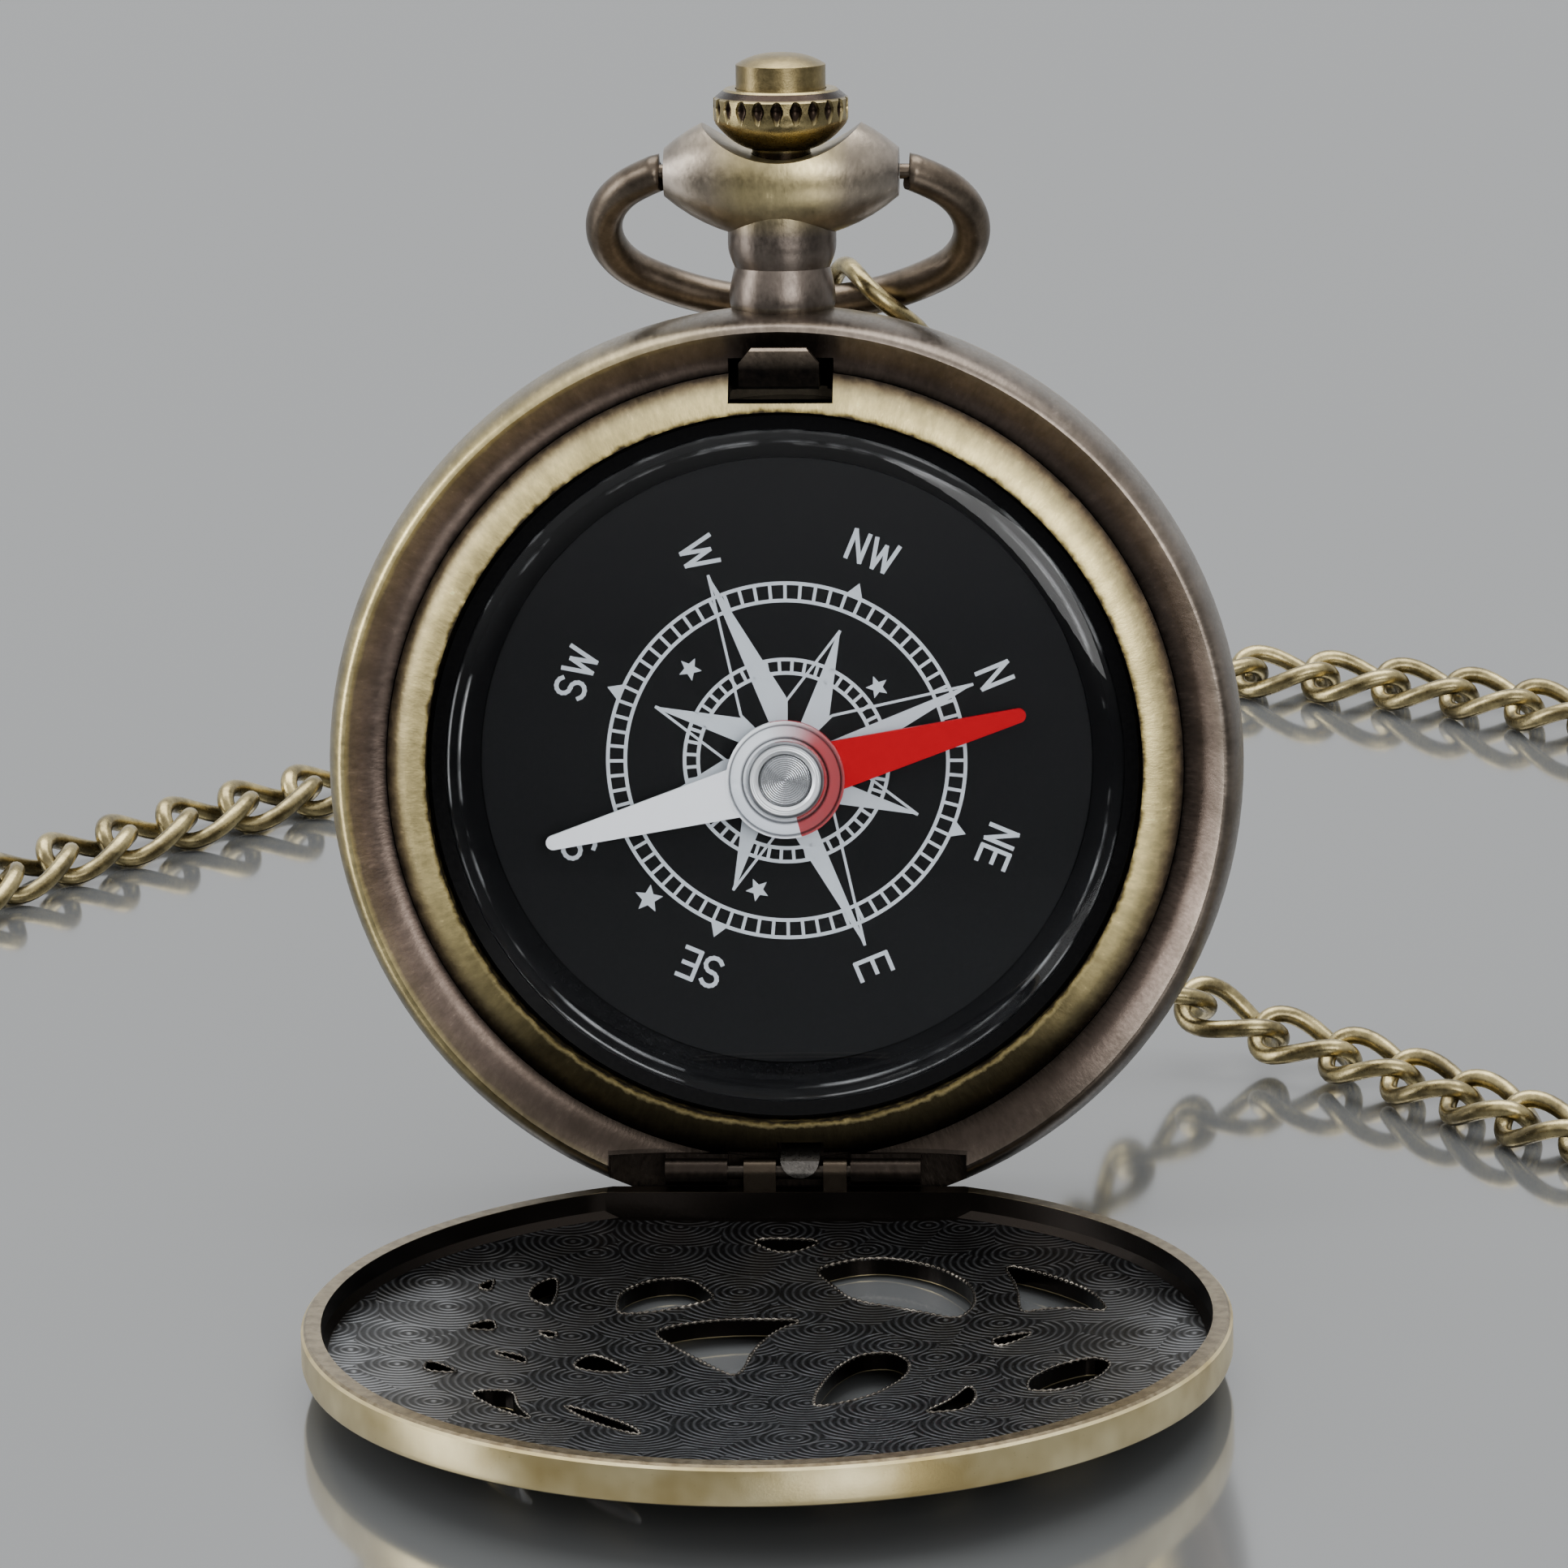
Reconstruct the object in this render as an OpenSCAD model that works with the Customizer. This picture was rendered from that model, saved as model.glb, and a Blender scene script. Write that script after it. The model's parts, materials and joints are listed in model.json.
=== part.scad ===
// Compass pendant: a round antique brass case with a pierced hinged lid, standing open on its lid,
// with crown, push button, bow and a curb chain.
// The dial frame used by most modules: x to the right, y up towards the crown, z out of the dial,
// with its origin in the middle of the case on the plane where the lid meets it.

/* [Case] */
// Largest radius of the case band
case_r = 23.5; // [22:0.1:26]
// Thickness of the case from the lid plane to the middle of the back
case_t = 10.2; // [9:0.1:13]
// Radius of the bulge of the band in section
side_r = 18; // [14:0.5:26]
// How far behind the lid plane the band is widest
widest_depth = 3; // [2:0.1:3.6]
// Width of the rounded front edge that the lid closes against
lip_w = 0.95; // [0.6:0.05:1.5]
// Width of the hollow between the front edge and the bezel
cove_w = 2.1; // [1.4:0.05:2.8]
// Depth of the hollow between the front edge and the bezel
cove_depth = 1.3; // [0.8:0.1:1.8]
// Radius of the rounded edge of the back
back_round = 2.5; // [1.5:0.1:3]
// Rise of the domed back
back_dome = 0.5; // [0.2:0.1:0.9]
// Thickness of the back wall
back_wall = 1; // [0.7:0.1:1.5]
// Width of the ledge that the bezel is seated on
seat_w = 1.15; // [0.8:0.05:1.4]

/* [Bezel] */
// Width of the bright bezel ring
bezel_w = 2.05; // [1.7:0.05:3]
// How far behind the lid plane the crest of the bezel lies
bezel_crest = 0.35; // [0.25:0.05:0.6]
// Thickness of the bezel ring
bezel_t = 1.8; // [1.2:0.1:2.2]

/* [Capsule] */
// Width of the rim that the black cup has round the crystal
cup_wall = 0.9; // [0.7:0.05:1.4]
// How far behind the lid plane the cup's rim lies
capsule_depth = 1.25; // [0.9:0.05:1.5]
// Thickness of the crystal
crystal_t = 0.75; // [0.5:0.05:1]
// Rise of the domed crystal
crystal_dome = 0.5; // [0.2:0.05:0.7]
// Width of the slope between the crystal's edge and the dial
dial_slope = 1.7; // [1:0.1:2.4]
// How far behind the lid plane the face of the dial lies
dial_depth = 3.5; // [3.3:0.1:4.5]
// Thickness of the dial
dial_t = 0.3; // [0.2:0.05:0.6]

/* [Needle] */
// Length of the needle from tip to tip
needle_l = 25.6; // [20:0.1:27]
// Direction of the red end, in degrees from the right
needle_turn = 15.3; // [0:0.1:360]
// Width of the needle at its boss
needle_w = 2.6; // [1.6:0.1:3.4]
// Width of the needle at its tips
needle_tip = 0.75; // [0.4:0.05:1]
// Thickness of the needle
needle_t = 0.22; // [0.15:0.01:0.3]
// Radius of the round boss in the middle of the needle
boss_r = 3.05; // [2.6:0.05:3.4]
// How far below the middle of the dial the pivot stands
pivot_drop = 0.8; // [0:0.1:1]
// Radius of the pivot pin
pivot_r = 0.35; // [0.25:0.05:0.5]
// Radius of the bright hub cap
hub_r = 2; // [1.6:0.05:2.3]

/* [Lid] */
// How far the lid's edge stays inside the widest part of the band
lid_inset = 0.2; // [0:0.05:0.6]
// Height of the lid's upright rim
rim_h = 2.2; // [1.9:0.05:2.5]
// Thickness of the rim
rim_wall = 1; // [0.7:0.05:1.2]
// Rise of the domed plate above the rim
lid_dome = 0.7; // [0.5:0.05:0.9]
// Thickness of the domed plate
plate_t = 0.9; // [0.7:0.05:1.2]
// Opening angle at the stop
open_angle = 97.4; // [92:0.1:110]

/* [Hinge] */
// How far the hinge pin lies inside the widest part of the band
pin_inset = 2.5; // [2.3:0.05:2.6]
// How far behind the lid plane the pin lies
pin_depth = 0.87; // [0.84:0.01:0.95]
// Radius of the hinge pin
pin_r = 0.4; // [0.3:0.02:0.45]
// Radius of the knuckles
knuckle_r = 0.7; // [0.64:0.01:0.74]
// Half width of the recess cut for the hinge
recess_half_w = 9.2; // [8.8:0.1:10]
// Width of the lift spring's tongue
tongue_w = 2; // [1.4:0.1:2.1]

/* [Pendant neck] */
// How far behind the lid plane the crown's axis lies
stem_depth = 3.9; // [3.3:0.1:4.4]
// Height of the bow's pivot axis above the band
neck_l = 6.85; // [6.5:0.05:8]
// Height of the neck's waist above the band
waist_rise = 2; // [1.7:0.05:2.4]
// Length of the barrel that carries the bow
barrel_l = 12; // [11:0.1:13]
// Largest radius of the barrel
barrel_r = 3.5; // [3.2:0.05:3.7]
// Radius of the barrel's ends
barrel_end_r = 1.25; // [1:0.05:1.4]
// Radius of the saddle cut for the crown
saddle_r = 5.66; // [5.3:0.02:6.2]
// Depth of the saddle's lowest point above the barrel's axis
saddle_rise = 0.75; // [0.5:0.05:1]
// Radius of the upper bead of the neck
upper_bead_r = 2.78; // [2.6:0.02:2.95]
// Radius of the lower bead of the neck
lower_bead_r = 2.72; // [2.6:0.02:2.9]
// Radius of the neck's waist between the beads
waist_r = 2.45; // [2.2:0.05:2.55]

/* [Crown] */
// Radius of the fluted crown
crown_r = 3.45; // [3.2:0.05:3.6]
// Height of the fluted part
crown_h = 1.8; // [1.6:0.05:2.1]
// Number of flutes
flutes = 22; // [16:1:26]
// Height of the bowl under the flutes
bowl_h = 1.45; // [1.3:0.05:1.6]
// Gap between the bowl and the saddle
bowl_gap = 0.3; // [0.25:0.05:0.6]
// Radius of the push button
button_r = 2.3; // [2:0.05:2.45]
// How far the button stands above the crown
button_h = 1.8; // [1.6:0.05:2.4]
// Travel of the push button
press = 0.7; // [0.4:0.05:0.75]
// Radius of the push rod
rod_r = 0.7; // [0.5:0.05:0.8]
// Radius of the crown's hub in the neck
crown_hub_r = 1.5; // [1.3:0.05:1.6]

/* [Catch] */
// Width of the slot for the catch
slot_w = 5.3; // [5:0.1:6]
// Width of the catch
catch_w = 4.1; // [3.6:0.1:4.4]
// Thickness of the catch's sheet
catch_t = 0.6; // [0.4:0.05:0.7]

/* [Bow] */
// Outer width of the bow
bow_w = 20.8; // [20:0.1:22]
// Outer height of the bow's oval
bow_h = 13.7; // [13:0.1:14.5]
// Radius of the bow's wire
bow_wire_r = 0.95; // [0.8:0.05:1.1]
// Radius of the bow's pivots
bow_pin_r = 0.4; // [0.3:0.05:0.5]
// How far the bow has slid to the right in its pivots
bow_shift = 0.15; // [-0.15:0.01:0.15]
// Gap between the folded bow and the edge of the case's back
bow_rest_gap = 0.6; // [0.5:0.05:1]

/* [Chain] */
// Outer length of a link
link_l = 6.5; // [6.2:0.05:6.8]
// Outer width of a link
link_w = 4.4; // [4.2:0.05:4.7]
// Diameter of the link wire
link_wire = 0.95; // [0.8:0.05:1]
// Distance from link to link
link_pitch = 4.2; // [4:0.05:4.3]
// Twist of a link from end to end
link_twist = 90; // [80:1:100]
// Number of links
link_count = 69; // [40:1:72]
// Outer length of the clasp
clasp_l = 14; // [10:0.5:18]
// Outer width of the clasp
clasp_w = 7; // [6:0.25:9]
// Thickness of the clasp
clasp_t = 1.8; // [1.2:0.1:2.4]

/* [Hidden] */
$fn = 96;

// Small gaps between pieces
fit_gap = 0.05; // pieces that are pressed or laid into each other
turn_gap = 0.05; // radial clearance of what turns or slides
shut_gap = 0.15; // between the lid's rim and the case when it is shut
move_gap = 0.2; // around what swings
cup_gap = 0.1; // between the black cup and the bezel's opening

// Radii from the band inwards, and what is placed from the band
lip_r = case_r - lip_w;
bezel_r = lip_r - cove_w;
opening_r = bezel_r - bezel_w;
well_r = bezel_r - seat_w;
capsule_r = opening_r - cup_gap;
crystal_r = capsule_r - cup_wall;
dial_r = crystal_r - dial_slope;
lid_r = case_r - lid_inset;
pin_reach = case_r - pin_inset;
barrel_y = case_r + neck_l;

// Section of the band: a bulging side of radius side_r, then the rounded back edge
side_x = case_r - side_r;
back_turn = asin((case_t - back_dome - widest_depth - back_round) / (side_r - back_round));
back_x = side_x + (side_r - back_round) * cos(back_turn);
back_z = -widest_depth - (side_r - back_round) * sin(back_turn);
back_flat_r = back_x;

// How the open pendant stands: the lid's domed plate and the bulging band both touch the surface.
// The front of the lid rises by the angle rest_tilt, and the case leans back by the angle lean.
lid_top = rim_h + lid_dome;
chord_y = pin_reach + 0.2;
function dome_z(r, rise, edge) = rise * (1 - pow(r / edge, 2));
function lid_touch(a) = min(tan(a) * pow(lid_r, 2) / (2 * lid_dome), chord_y);
function case_low(a) = (pin_reach - side_x) * cos(a) - (widest_depth - pin_depth) * sin(a) - side_r;
function lid_low(a) = (pin_reach - lid_touch(a)) * sin(a)
    - (rim_h + dome_z(lid_touch(a), lid_dome, lid_r) + pin_depth) * cos(a);
function stand_gap(a) = lid_low(a) - case_low(a + open_angle - 90);
function settle(low, high, steps) = steps == 0 ? (low + high) / 2
    : stand_gap((low + high) / 2) > 0 ? settle(low, (low + high) / 2, steps - 1)
    : settle((low + high) / 2, high, steps - 1);
rest_tilt = settle(-4, 14, 24);
lean = rest_tilt + open_angle - 90;
hinge_z = -lid_low(rest_tilt);
// A point of the dial frame in the part's frame
function in_part(p) = [p[0], (p[1] + pin_reach) * sin(lean) - (p[2] + pin_depth) * cos(lean),
    hinge_z + (p[1] + pin_reach) * cos(lean) + (p[2] + pin_depth) * sin(lean)];

// Rows: where each knuckle of the hinge starts and ends along the pin, and what carries it
CASE_LUGS = [[-6.3, -3.1], [3.25, 6.85]];
LID_KNUCKLES = [[-2.25, -0.6], [1.85, 3.05]];
tongue_x = 0.65;

// The hinge's recess, the tongue in it and the slot for the catch
recess_top = pin_reach - knuckle_r - move_gap;
bezel_back = bezel_crest + bezel_t;
tongue_t = 0.3;
tongue_root = -bezel_back + fit_gap;
tongue_slot = [tongue_x - tongue_w / 2 - move_gap, tongue_x + tongue_w / 2 + move_gap];
recess_depth = pin_depth + knuckle_r + 2 * move_gap;
slot_low = opening_r + 0.45;
slot_top = bezel_r + 0.6;
slot_depth = 4;

// Heights along the case
saddle_low = barrel_y + saddle_rise;
bowl_low = saddle_low + bowl_gap;
crown_low = bowl_low + bowl_h;
crown_top = crown_low + crown_h;
button_top = crown_top + button_h;
button_dome = 0.58;
neck_top = barrel_y - 2;
neck_waist = case_r + waist_rise;
neck_low = case_r - 1.3;
catch_low = slot_low + press + 0.15;
chamber_y = catch_low + 0.5;
bow_hole = 2.2;
hub_depth = 2.2;

// The bow: an oval of four arcs with its centre below the pivot axis
bow_a = bow_w / 2 - bow_wire_r;
bow_b = bow_h / 2 - bow_wire_r;
bow_end_r = 0.71 * bow_b;
bow_gap = 0.42;
bow_start = barrel_l / 2 + bow_gap;
bow_side = bow_a - bow_end_r;
bow_long_r = (pow(bow_side, 2) + pow(bow_b, 2) - pow(bow_end_r, 2)) / (2 * (bow_b - bow_end_r));
bow_join = atan2(bow_long_r - bow_b, bow_side);
bow_open = asin(bow_start / bow_long_r);
bow_drop = bow_long_r * cos(bow_open) - (bow_long_r - bow_b);
// The bow is folded back from hanging straight down the case until it rests at the back's edge
bow_reach = bow_drop + bow_b;
rest_x = barrel_y - back_x;
rest_z = -back_z - stem_depth;
rest_far = norm([rest_x, rest_z]);
bow_fold = atan2(rest_z, rest_x) + acos((pow(bow_reach, 2) + pow(rest_far, 2)
    - pow(back_round + bow_wire_r + bow_rest_gap, 2)) / (2 * bow_reach * rest_far));

// The dial frame and the lid's frame in the part's frame
module in_case() {
    translate([0, 0, hinge_z]) rotate([-lean, 0, 0]) translate([0, -pin_depth, pin_reach])
        rotate([90, 0, 0]) children();
}
module in_lid() {
    in_case() translate([0, -pin_reach, -pin_depth]) rotate([open_angle, 0, 0])
        translate([0, pin_reach, pin_depth]) children();
}
module on_stem(y) {
    in_case() translate([0, y, -stem_depth]) rotate([-90, 0, 0]) children();
}
module along_pin(x, len, r) {
    translate([x, -pin_reach, -pin_depth]) rotate([0, 90, 0]) cylinder(h = len, r = r);
}
module bar(x, y, z) {
    translate([x[0], y[0], z[0]]) cube([x[1] - x[0], y[1] - y[0], z[1] - z[0]]);
}

// Points of an arc, and of the hollow between the front edge and the bezel
function arc(c, r, from, to, n) = [for (i = [0:n]) let (a = from + (to - from) * i / n)
    [c[0] + r * cos(a), c[1] + r * sin(a)]];
function front_edge(n) = [for (i = [0:n]) let (a = 90 * i / n)
    [lip_r + (case_r - lip_r) * cos(a), -widest_depth + (widest_depth - shut_gap) * sin(a)]];
function unit(v) = v / norm(v);
// Two triangles for each step along a tube and each side round it
function tube_faces(rings, sides) = [for (i = [0:rings - 2], k = [0:sides - 1], h = [0, 1])
    let (j = i + 1, m = (k + 1) % sides,
        a = i * sides + k, b = i * sides + m, c = j * sides + m, d = j * sides + k)
    h == 0 ? [a, d, c] : [a, c, b]];
function cove(n) = [for (i = [1:n]) let (s = i / n)
    [lip_r - s * (lip_r - bezel_r - fit_gap), -shut_gap - cove_depth * sin(90 * s)]];

/* Case */
well_floor = case_t - back_dome - back_wall;
module band_section() {
    polygon(concat(
        arc([back_x, back_z], back_round, -90, -back_turn, 6),
        arc([side_x, -widest_depth], side_r, -back_turn, 0, 12),
        front_edge(12), cove(8),
        [[bezel_r + fit_gap, -bezel_back - fit_gap], [well_r, -bezel_back - fit_gap], [well_r, -well_floor],
            [0, -well_floor - back_dome + 0.1], [0, -case_t]],
        [for (i = [1:8]) let (r = back_flat_r * i / 9)
            [r, -case_t + back_dome - dome_z(r, back_dome, back_flat_r)]]));
}

module neck_section() {
    foot = 0.7;
    upper_h = neck_top - neck_waist;
    lower_h = neck_waist - neck_low;
    polygon(concat([[0, neck_low]],
        [for (i = [0:16]) let (s = i / 16) [s > 0.5 ? waist_r + (lower_bead_r - waist_r) * sin(180 * s)
            : lower_bead_r * sqrt(1 - pow(1 - 2 * s, 2) * foot), neck_low + lower_h * s]],
        [for (i = [1:16]) let (s = i / 16) [waist_r + (upper_bead_r - waist_r) * sin(min(90, 214 * s)),
            neck_waist + upper_h * s]],
        [[0, neck_top]]));
}

barrel_arc = (pow(barrel_l / 2, 2) + pow(barrel_r - barrel_end_r, 2)) / (2 * (barrel_r - barrel_end_r));
barrel_turn = asin(barrel_l / 2 / barrel_arc);
module barrel_section() {
    polygon(concat([[0, -barrel_l / 2]],
        arc([barrel_r - barrel_arc, 0], barrel_arc, -barrel_turn, barrel_turn, 16), [[0, barrel_l / 2]]));
}

module pendant_neck() {
    difference() {
        union() {
            translate([0, 0, -stem_depth]) rotate([-90, 0, 0]) rotate_extrude() neck_section();
            translate([0, barrel_y, -stem_depth]) rotate([0, 90, 0]) rotate_extrude() barrel_section();
        }
        translate([0, saddle_low + saddle_r, -stem_depth - 5]) cylinder(h = 10, r = saddle_r);
    }
}

module lug(x) {
    along_pin(x[0], x[1] - x[0], knuckle_r);
    bar(x, [-pin_reach - 0.6 * knuckle_r, -recess_top], [-recess_depth - 0.5, -pin_depth]);
}

module case_body() {
    color("#8a7a5a") in_case() difference() {
        union() {
            difference() {
                union() {
                    rotate_extrude() band_section();
                    pendant_neck();
                }
                bar([-recess_half_w, recess_half_w], [-case_r - 1, -recess_top], [-recess_depth, 1]);
                bar([-slot_w, slot_w] / 2, [slot_low, slot_top], [-slot_depth, 1]);
            }
            for (x = CASE_LUGS) lug(x);
        }
        along_pin(-recess_half_w, 2 * recess_half_w, pin_r + turn_gap);
        translate([0, chamber_y, -stem_depth]) rotate([-90, 0, 0])
            cylinder(h = saddle_low + 1.1 - chamber_y, r = rod_r + turn_gap);
        translate([0, saddle_low - hub_depth, -stem_depth]) rotate([-90, 0, 0])
            cylinder(h = hub_depth + 1, r = crown_hub_r + turn_gap);
        for (s = [-1, 1]) translate([s * barrel_l / 2, barrel_y, -stem_depth]) rotate([0, 90, 0])
            cylinder(h = 2 * bow_hole, r = bow_pin_r + turn_gap, center = true);
        bar([-catch_w / 2 - move_gap, catch_w / 2 + move_gap], [well_r - 1, slot_top],
            [-slot_depth - 1, -1.5]);
    }
}

/* Bezel */
module bezel() {
    color("#c8b888") in_case() difference() {
        rotate_extrude() polygon(concat(
            [[opening_r, -bezel_back], [bezel_r, -bezel_back]],
            [for (i = [0:12]) let (s = i / 12) [bezel_r - (bezel_r - opening_r) * s,
                -bezel_crest - 1.05 * pow(1 - s, 2)]]));
        bar([-slot_w, slot_w] / 2, [slot_low, slot_top], [-slot_depth, 1]);
        bar([-recess_half_w, recess_half_w], [-bezel_r - 1, -recess_top + fit_gap], [-bezel_back - 1, 1]);
        bar(tongue_slot, [-bezel_r - 1, -opening_r - 1.05], [-bezel_back - 1, 1]);
        bar(tongue_slot, [-bezel_r, -opening_r - 0.3], [-bezel_back - 1, tongue_root + tongue_t + 0.1]);
    }
}

/* Compass */
capsule_floor = dial_depth + dial_t + fit_gap;
crystal_edge = capsule_depth + 0.75;
module capsule() {
    color("#151515") in_case() difference() {
        rotate_extrude() polygon([
            [0, -capsule_floor - 1], [capsule_r - 1.2, -capsule_floor - 1],
            [capsule_r - 1.2, -well_floor + fit_gap], [capsule_r, -well_floor + fit_gap],
            [capsule_r, -capsule_depth - 0.15], [capsule_r - 0.15, -capsule_depth],
            [crystal_r + fit_gap, -capsule_depth - 0.1], [crystal_r + fit_gap, -crystal_edge],
            [crystal_r - 0.6, -crystal_edge], [dial_r + fit_gap, -dial_depth + 0.1],
            [dial_r + fit_gap, -capsule_floor], [0, -capsule_floor]]);
        translate([0, -pivot_drop, -capsule_floor - 2]) cylinder(h = 3, r = pivot_r + fit_gap);
    }
}

module dial() {
    color("#101010") in_case() difference() {
        translate([0, 0, -dial_depth - dial_t]) cylinder(h = dial_t, r = dial_r);
        translate([0, -pivot_drop, -dial_depth - 2]) cylinder(h = 3, r = pivot_r + fit_gap);
    }
}

module crystal() {
    n = 12;
    color([0.9, 0.95, 1, 0.35]) in_case() rotate_extrude() polygon(concat(
        [for (i = [0:n]) let (r = (crystal_r - 0.7) * i / n)
            [r, -crystal_edge + fit_gap + dome_z(r, crystal_dome, crystal_r - 0.7)]],
        [[crystal_r, -crystal_edge + fit_gap], [crystal_r, -crystal_edge + fit_gap + 0.6 * crystal_t]],
        [for (i = [n:-1:0]) let (r = (crystal_r - 0.7) * i / n)
            [r, -crystal_edge + fit_gap + crystal_t + dome_z(r, crystal_dome, crystal_r - 0.7)]]));
}

// Heights of the needle's pieces, measured back from the lid plane
needle_z = -dial_depth + 1;
module at_pivot(z) {
    in_case() translate([0, -pivot_drop, z]) rotate([0, 0, needle_turn]) children();
}

module pivot() {
    color("#b9bcc0") at_pivot(-capsule_floor - 0.95)
        cylinder(h = capsule_floor + 0.95 + needle_z + needle_t, r = pivot_r);
}

module blade() {
    polygon([[boss_r - 0.6, -needle_w / 2], [needle_l / 2 - needle_tip / 2, -needle_tip / 2],
        [needle_l / 2 - needle_tip / 2, needle_tip / 2], [boss_r - 0.6, needle_w / 2]]);
    translate([needle_l / 2 - needle_tip / 2, 0]) circle(r = needle_tip / 2);
}
module needle() {
    color("#c01020") at_pivot(needle_z) linear_extrude(needle_t) difference() {
        union() {
            circle(r = boss_r);
            blade();
            mirror([1, 0]) blade();
        }
        circle(r = hub_r - 0.5);
    }
}

// The hub hangs on the pivot by a blind hole, and its collar holds the needle
module needle_hub() {
    flat_r = 0.7 * hub_r;
    color("#c9ccd0") at_pivot(needle_z) difference() {
        rotate_extrude() polygon([[0, -0.5], [pivot_r + 0.6, -0.5], [hub_r - 0.5 - fit_gap, -0.3],
            [hub_r - 0.5 - fit_gap, needle_t + fit_gap], [hub_r, needle_t + fit_gap], [hub_r, needle_t + 0.3],
            [hub_r - 0.12, needle_t + 0.42], [flat_r + 0.15, needle_t + 0.42], [flat_r, needle_t + 0.3],
            [0, needle_t + 0.3]]);
        translate([0, 0, -1]) cylinder(h = 1 + needle_t + fit_gap, r = pivot_r + turn_gap);
    }
}

module needle_collar() {
    in_r = hub_r + fit_gap;
    color([0.9, 0.92, 0.95, 0.4]) at_pivot(needle_z + needle_t + fit_gap) rotate_extrude()
        polygon([[in_r, 0], [boss_r, 0], [boss_r, 0.12], [boss_r - 0.15, 0.25],
            [in_r + 0.1, 0.34], [in_r, 0.3]]);
}

/* Crown and button */
button_sink = press + 0.8;
crown_bore_y = crown_top - button_sink;
module crown() {
    flute = 0.34;
    color("#a5935f") on_stem(0) difference() {
        rotate_extrude() polygon(concat(
            [[0, saddle_low - hub_depth + 0.3], [crown_hub_r, saddle_low - hub_depth + 0.3]],
            [for (i = [0:8]) let (r = crown_hub_r + (crown_r - 0.1 - crown_hub_r) * i / 8)
                [r, bowl_low + bowl_h * pow(r / (crown_r - 0.1), 3)]],
            [[crown_r, crown_low + 0.25], [crown_r, crown_top - 0.5],
                [crown_r - 0.6, crown_top], [0, crown_top]]));
        translate([0, 0, crown_bore_y]) cylinder(h = button_sink + 1, r = button_r + turn_gap);
        translate([0, 0, chamber_y]) cylinder(h = crown_top - chamber_y, r = rod_r + turn_gap);
        for (i = [0:flutes - 1])
            rotate([0, 0, 360 * i / flutes + 7.6]) translate([crown_r + 0.06, 0, crown_low])
                rotate_extrude() polygon([[0, -0.1], [flute, crown_h * 0.42],
                    [flute, crown_h * 0.54], [0, crown_h * 0.98]]);
    }
}

module crown_button() {
    color("#b3a06c") on_stem(0) rotate_extrude() polygon(concat(
        [[0, catch_low + catch_t], [rod_r, catch_low + catch_t], [rod_r, crown_bore_y + press + 0.1],
            [button_r, crown_bore_y + press + 0.1]],
        [for (i = [0:8]) let (r = button_r * (8 - i) / 8)
            [r, button_top - button_dome + button_dome * (1 - pow(r / button_r, 2.6))]]));
}

// The catch: sheet that the push rod presses on, through the slot, with its hook turned outwards
hook_top = slot_top + 0.75;
module catch() {
    cut = 0.65;
    color("#6d6350") in_case() intersection() {
        translate([-catch_w / 2, 0, 0]) rotate([90, 0, 90]) linear_extrude(catch_w) polygon([
            [catch_low, -stem_depth - 1], [catch_low + catch_t, -stem_depth - 1], [catch_low + catch_t, 0.2],
            [hook_top, 0.2], [hook_top, 0.55], [hook_top - 0.15, 0.7],
            [catch_low + 0.15, 0.7], [catch_low, 0.55]]);
        translate([0, 0, -stem_depth - 2]) linear_extrude(stem_depth + 4) polygon([
            [-catch_w / 2 - 1, catch_low - 1], [catch_w / 2 + 1, catch_low - 1],
            [catch_w / 2 + 1, hook_top - 1.2 * cut - 0.6], [catch_w / 2, hook_top - 1.2 * cut],
            [catch_w / 2 - cut, hook_top], [catch_w / 2 - cut, hook_top + 1],
            [-catch_w / 2 + cut, hook_top + 1], [-catch_w / 2 + cut, hook_top],
            [-catch_w / 2, hook_top - 1.2 * cut],
            [-catch_w / 2 - 1, hook_top - 1.2 * cut - 0.6]]);
    }
}

/* Bow */
// In the bow's own frame x is to the right and y points from the pivot axis to the far end.
// The wire runs from the right pivot round the oval to the left one.
BOW_SIDES = 12;
far_c = [0, bow_drop - (bow_long_r - bow_b)];
near_c = [0, bow_drop + (bow_long_r - bow_b)];
HALF_BOW = concat(
    arc(near_c, bow_long_r, bow_open - 90, -bow_join, 5),
    arc([bow_side, bow_drop], bow_end_r, 0.9 * -bow_join, bow_join, 11),
    arc(far_c, bow_long_r, bow_join + 3, 90, 8));
BOW_LINE = concat(HALF_BOW, [for (i = [len(HALF_BOW) - 2:-1:0]) [-HALF_BOW[i][0], HALF_BOW[i][1]]]);
module bow_wire() {
    n = len(BOW_LINE);
    points = [for (i = [0:n - 1]) let (
        d = unit(BOW_LINE[min(i + 1, n - 1)] - BOW_LINE[max(i - 1, 0)]),
        t = i == 0 ? [1, 0] : i == n - 1 ? [1, 0] : d, out = i == 0 || i == n - 1 ? [0, 1] : [-t[1], t[0]])
        for (k = [0:BOW_SIDES - 1]) let (u = 360 * k / BOW_SIDES)
            [BOW_LINE[i][0] + bow_wire_r * cos(u) * out[0] * (i == n - 1 ? -1 : 1),
                BOW_LINE[i][1] + bow_wire_r * cos(u) * out[1] * (i == n - 1 ? -1 : 1), bow_wire_r * sin(u)]];
    polyhedron(points = points, faces = concat(tube_faces(n, BOW_SIDES), [[for (k = [0:BOW_SIDES - 1]) k],
        [for (k = [BOW_SIDES - 1:-1:0]) (n - 1) * BOW_SIDES + k]]), convexity = 6);
}
module bow() {
    color("#8d8064") in_case() translate([bow_shift, barrel_y, -stem_depth])
        rotate([180 + bow_fold, 0, 0]) union() {
            bow_wire();
            for (s = [-1, 1]) translate([s * (bow_start - 0.6), 0, 0]) rotate([0, 90, 0])
                cylinder(h = 2.4, r = bow_pin_r, center = true);
        }
}

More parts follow.
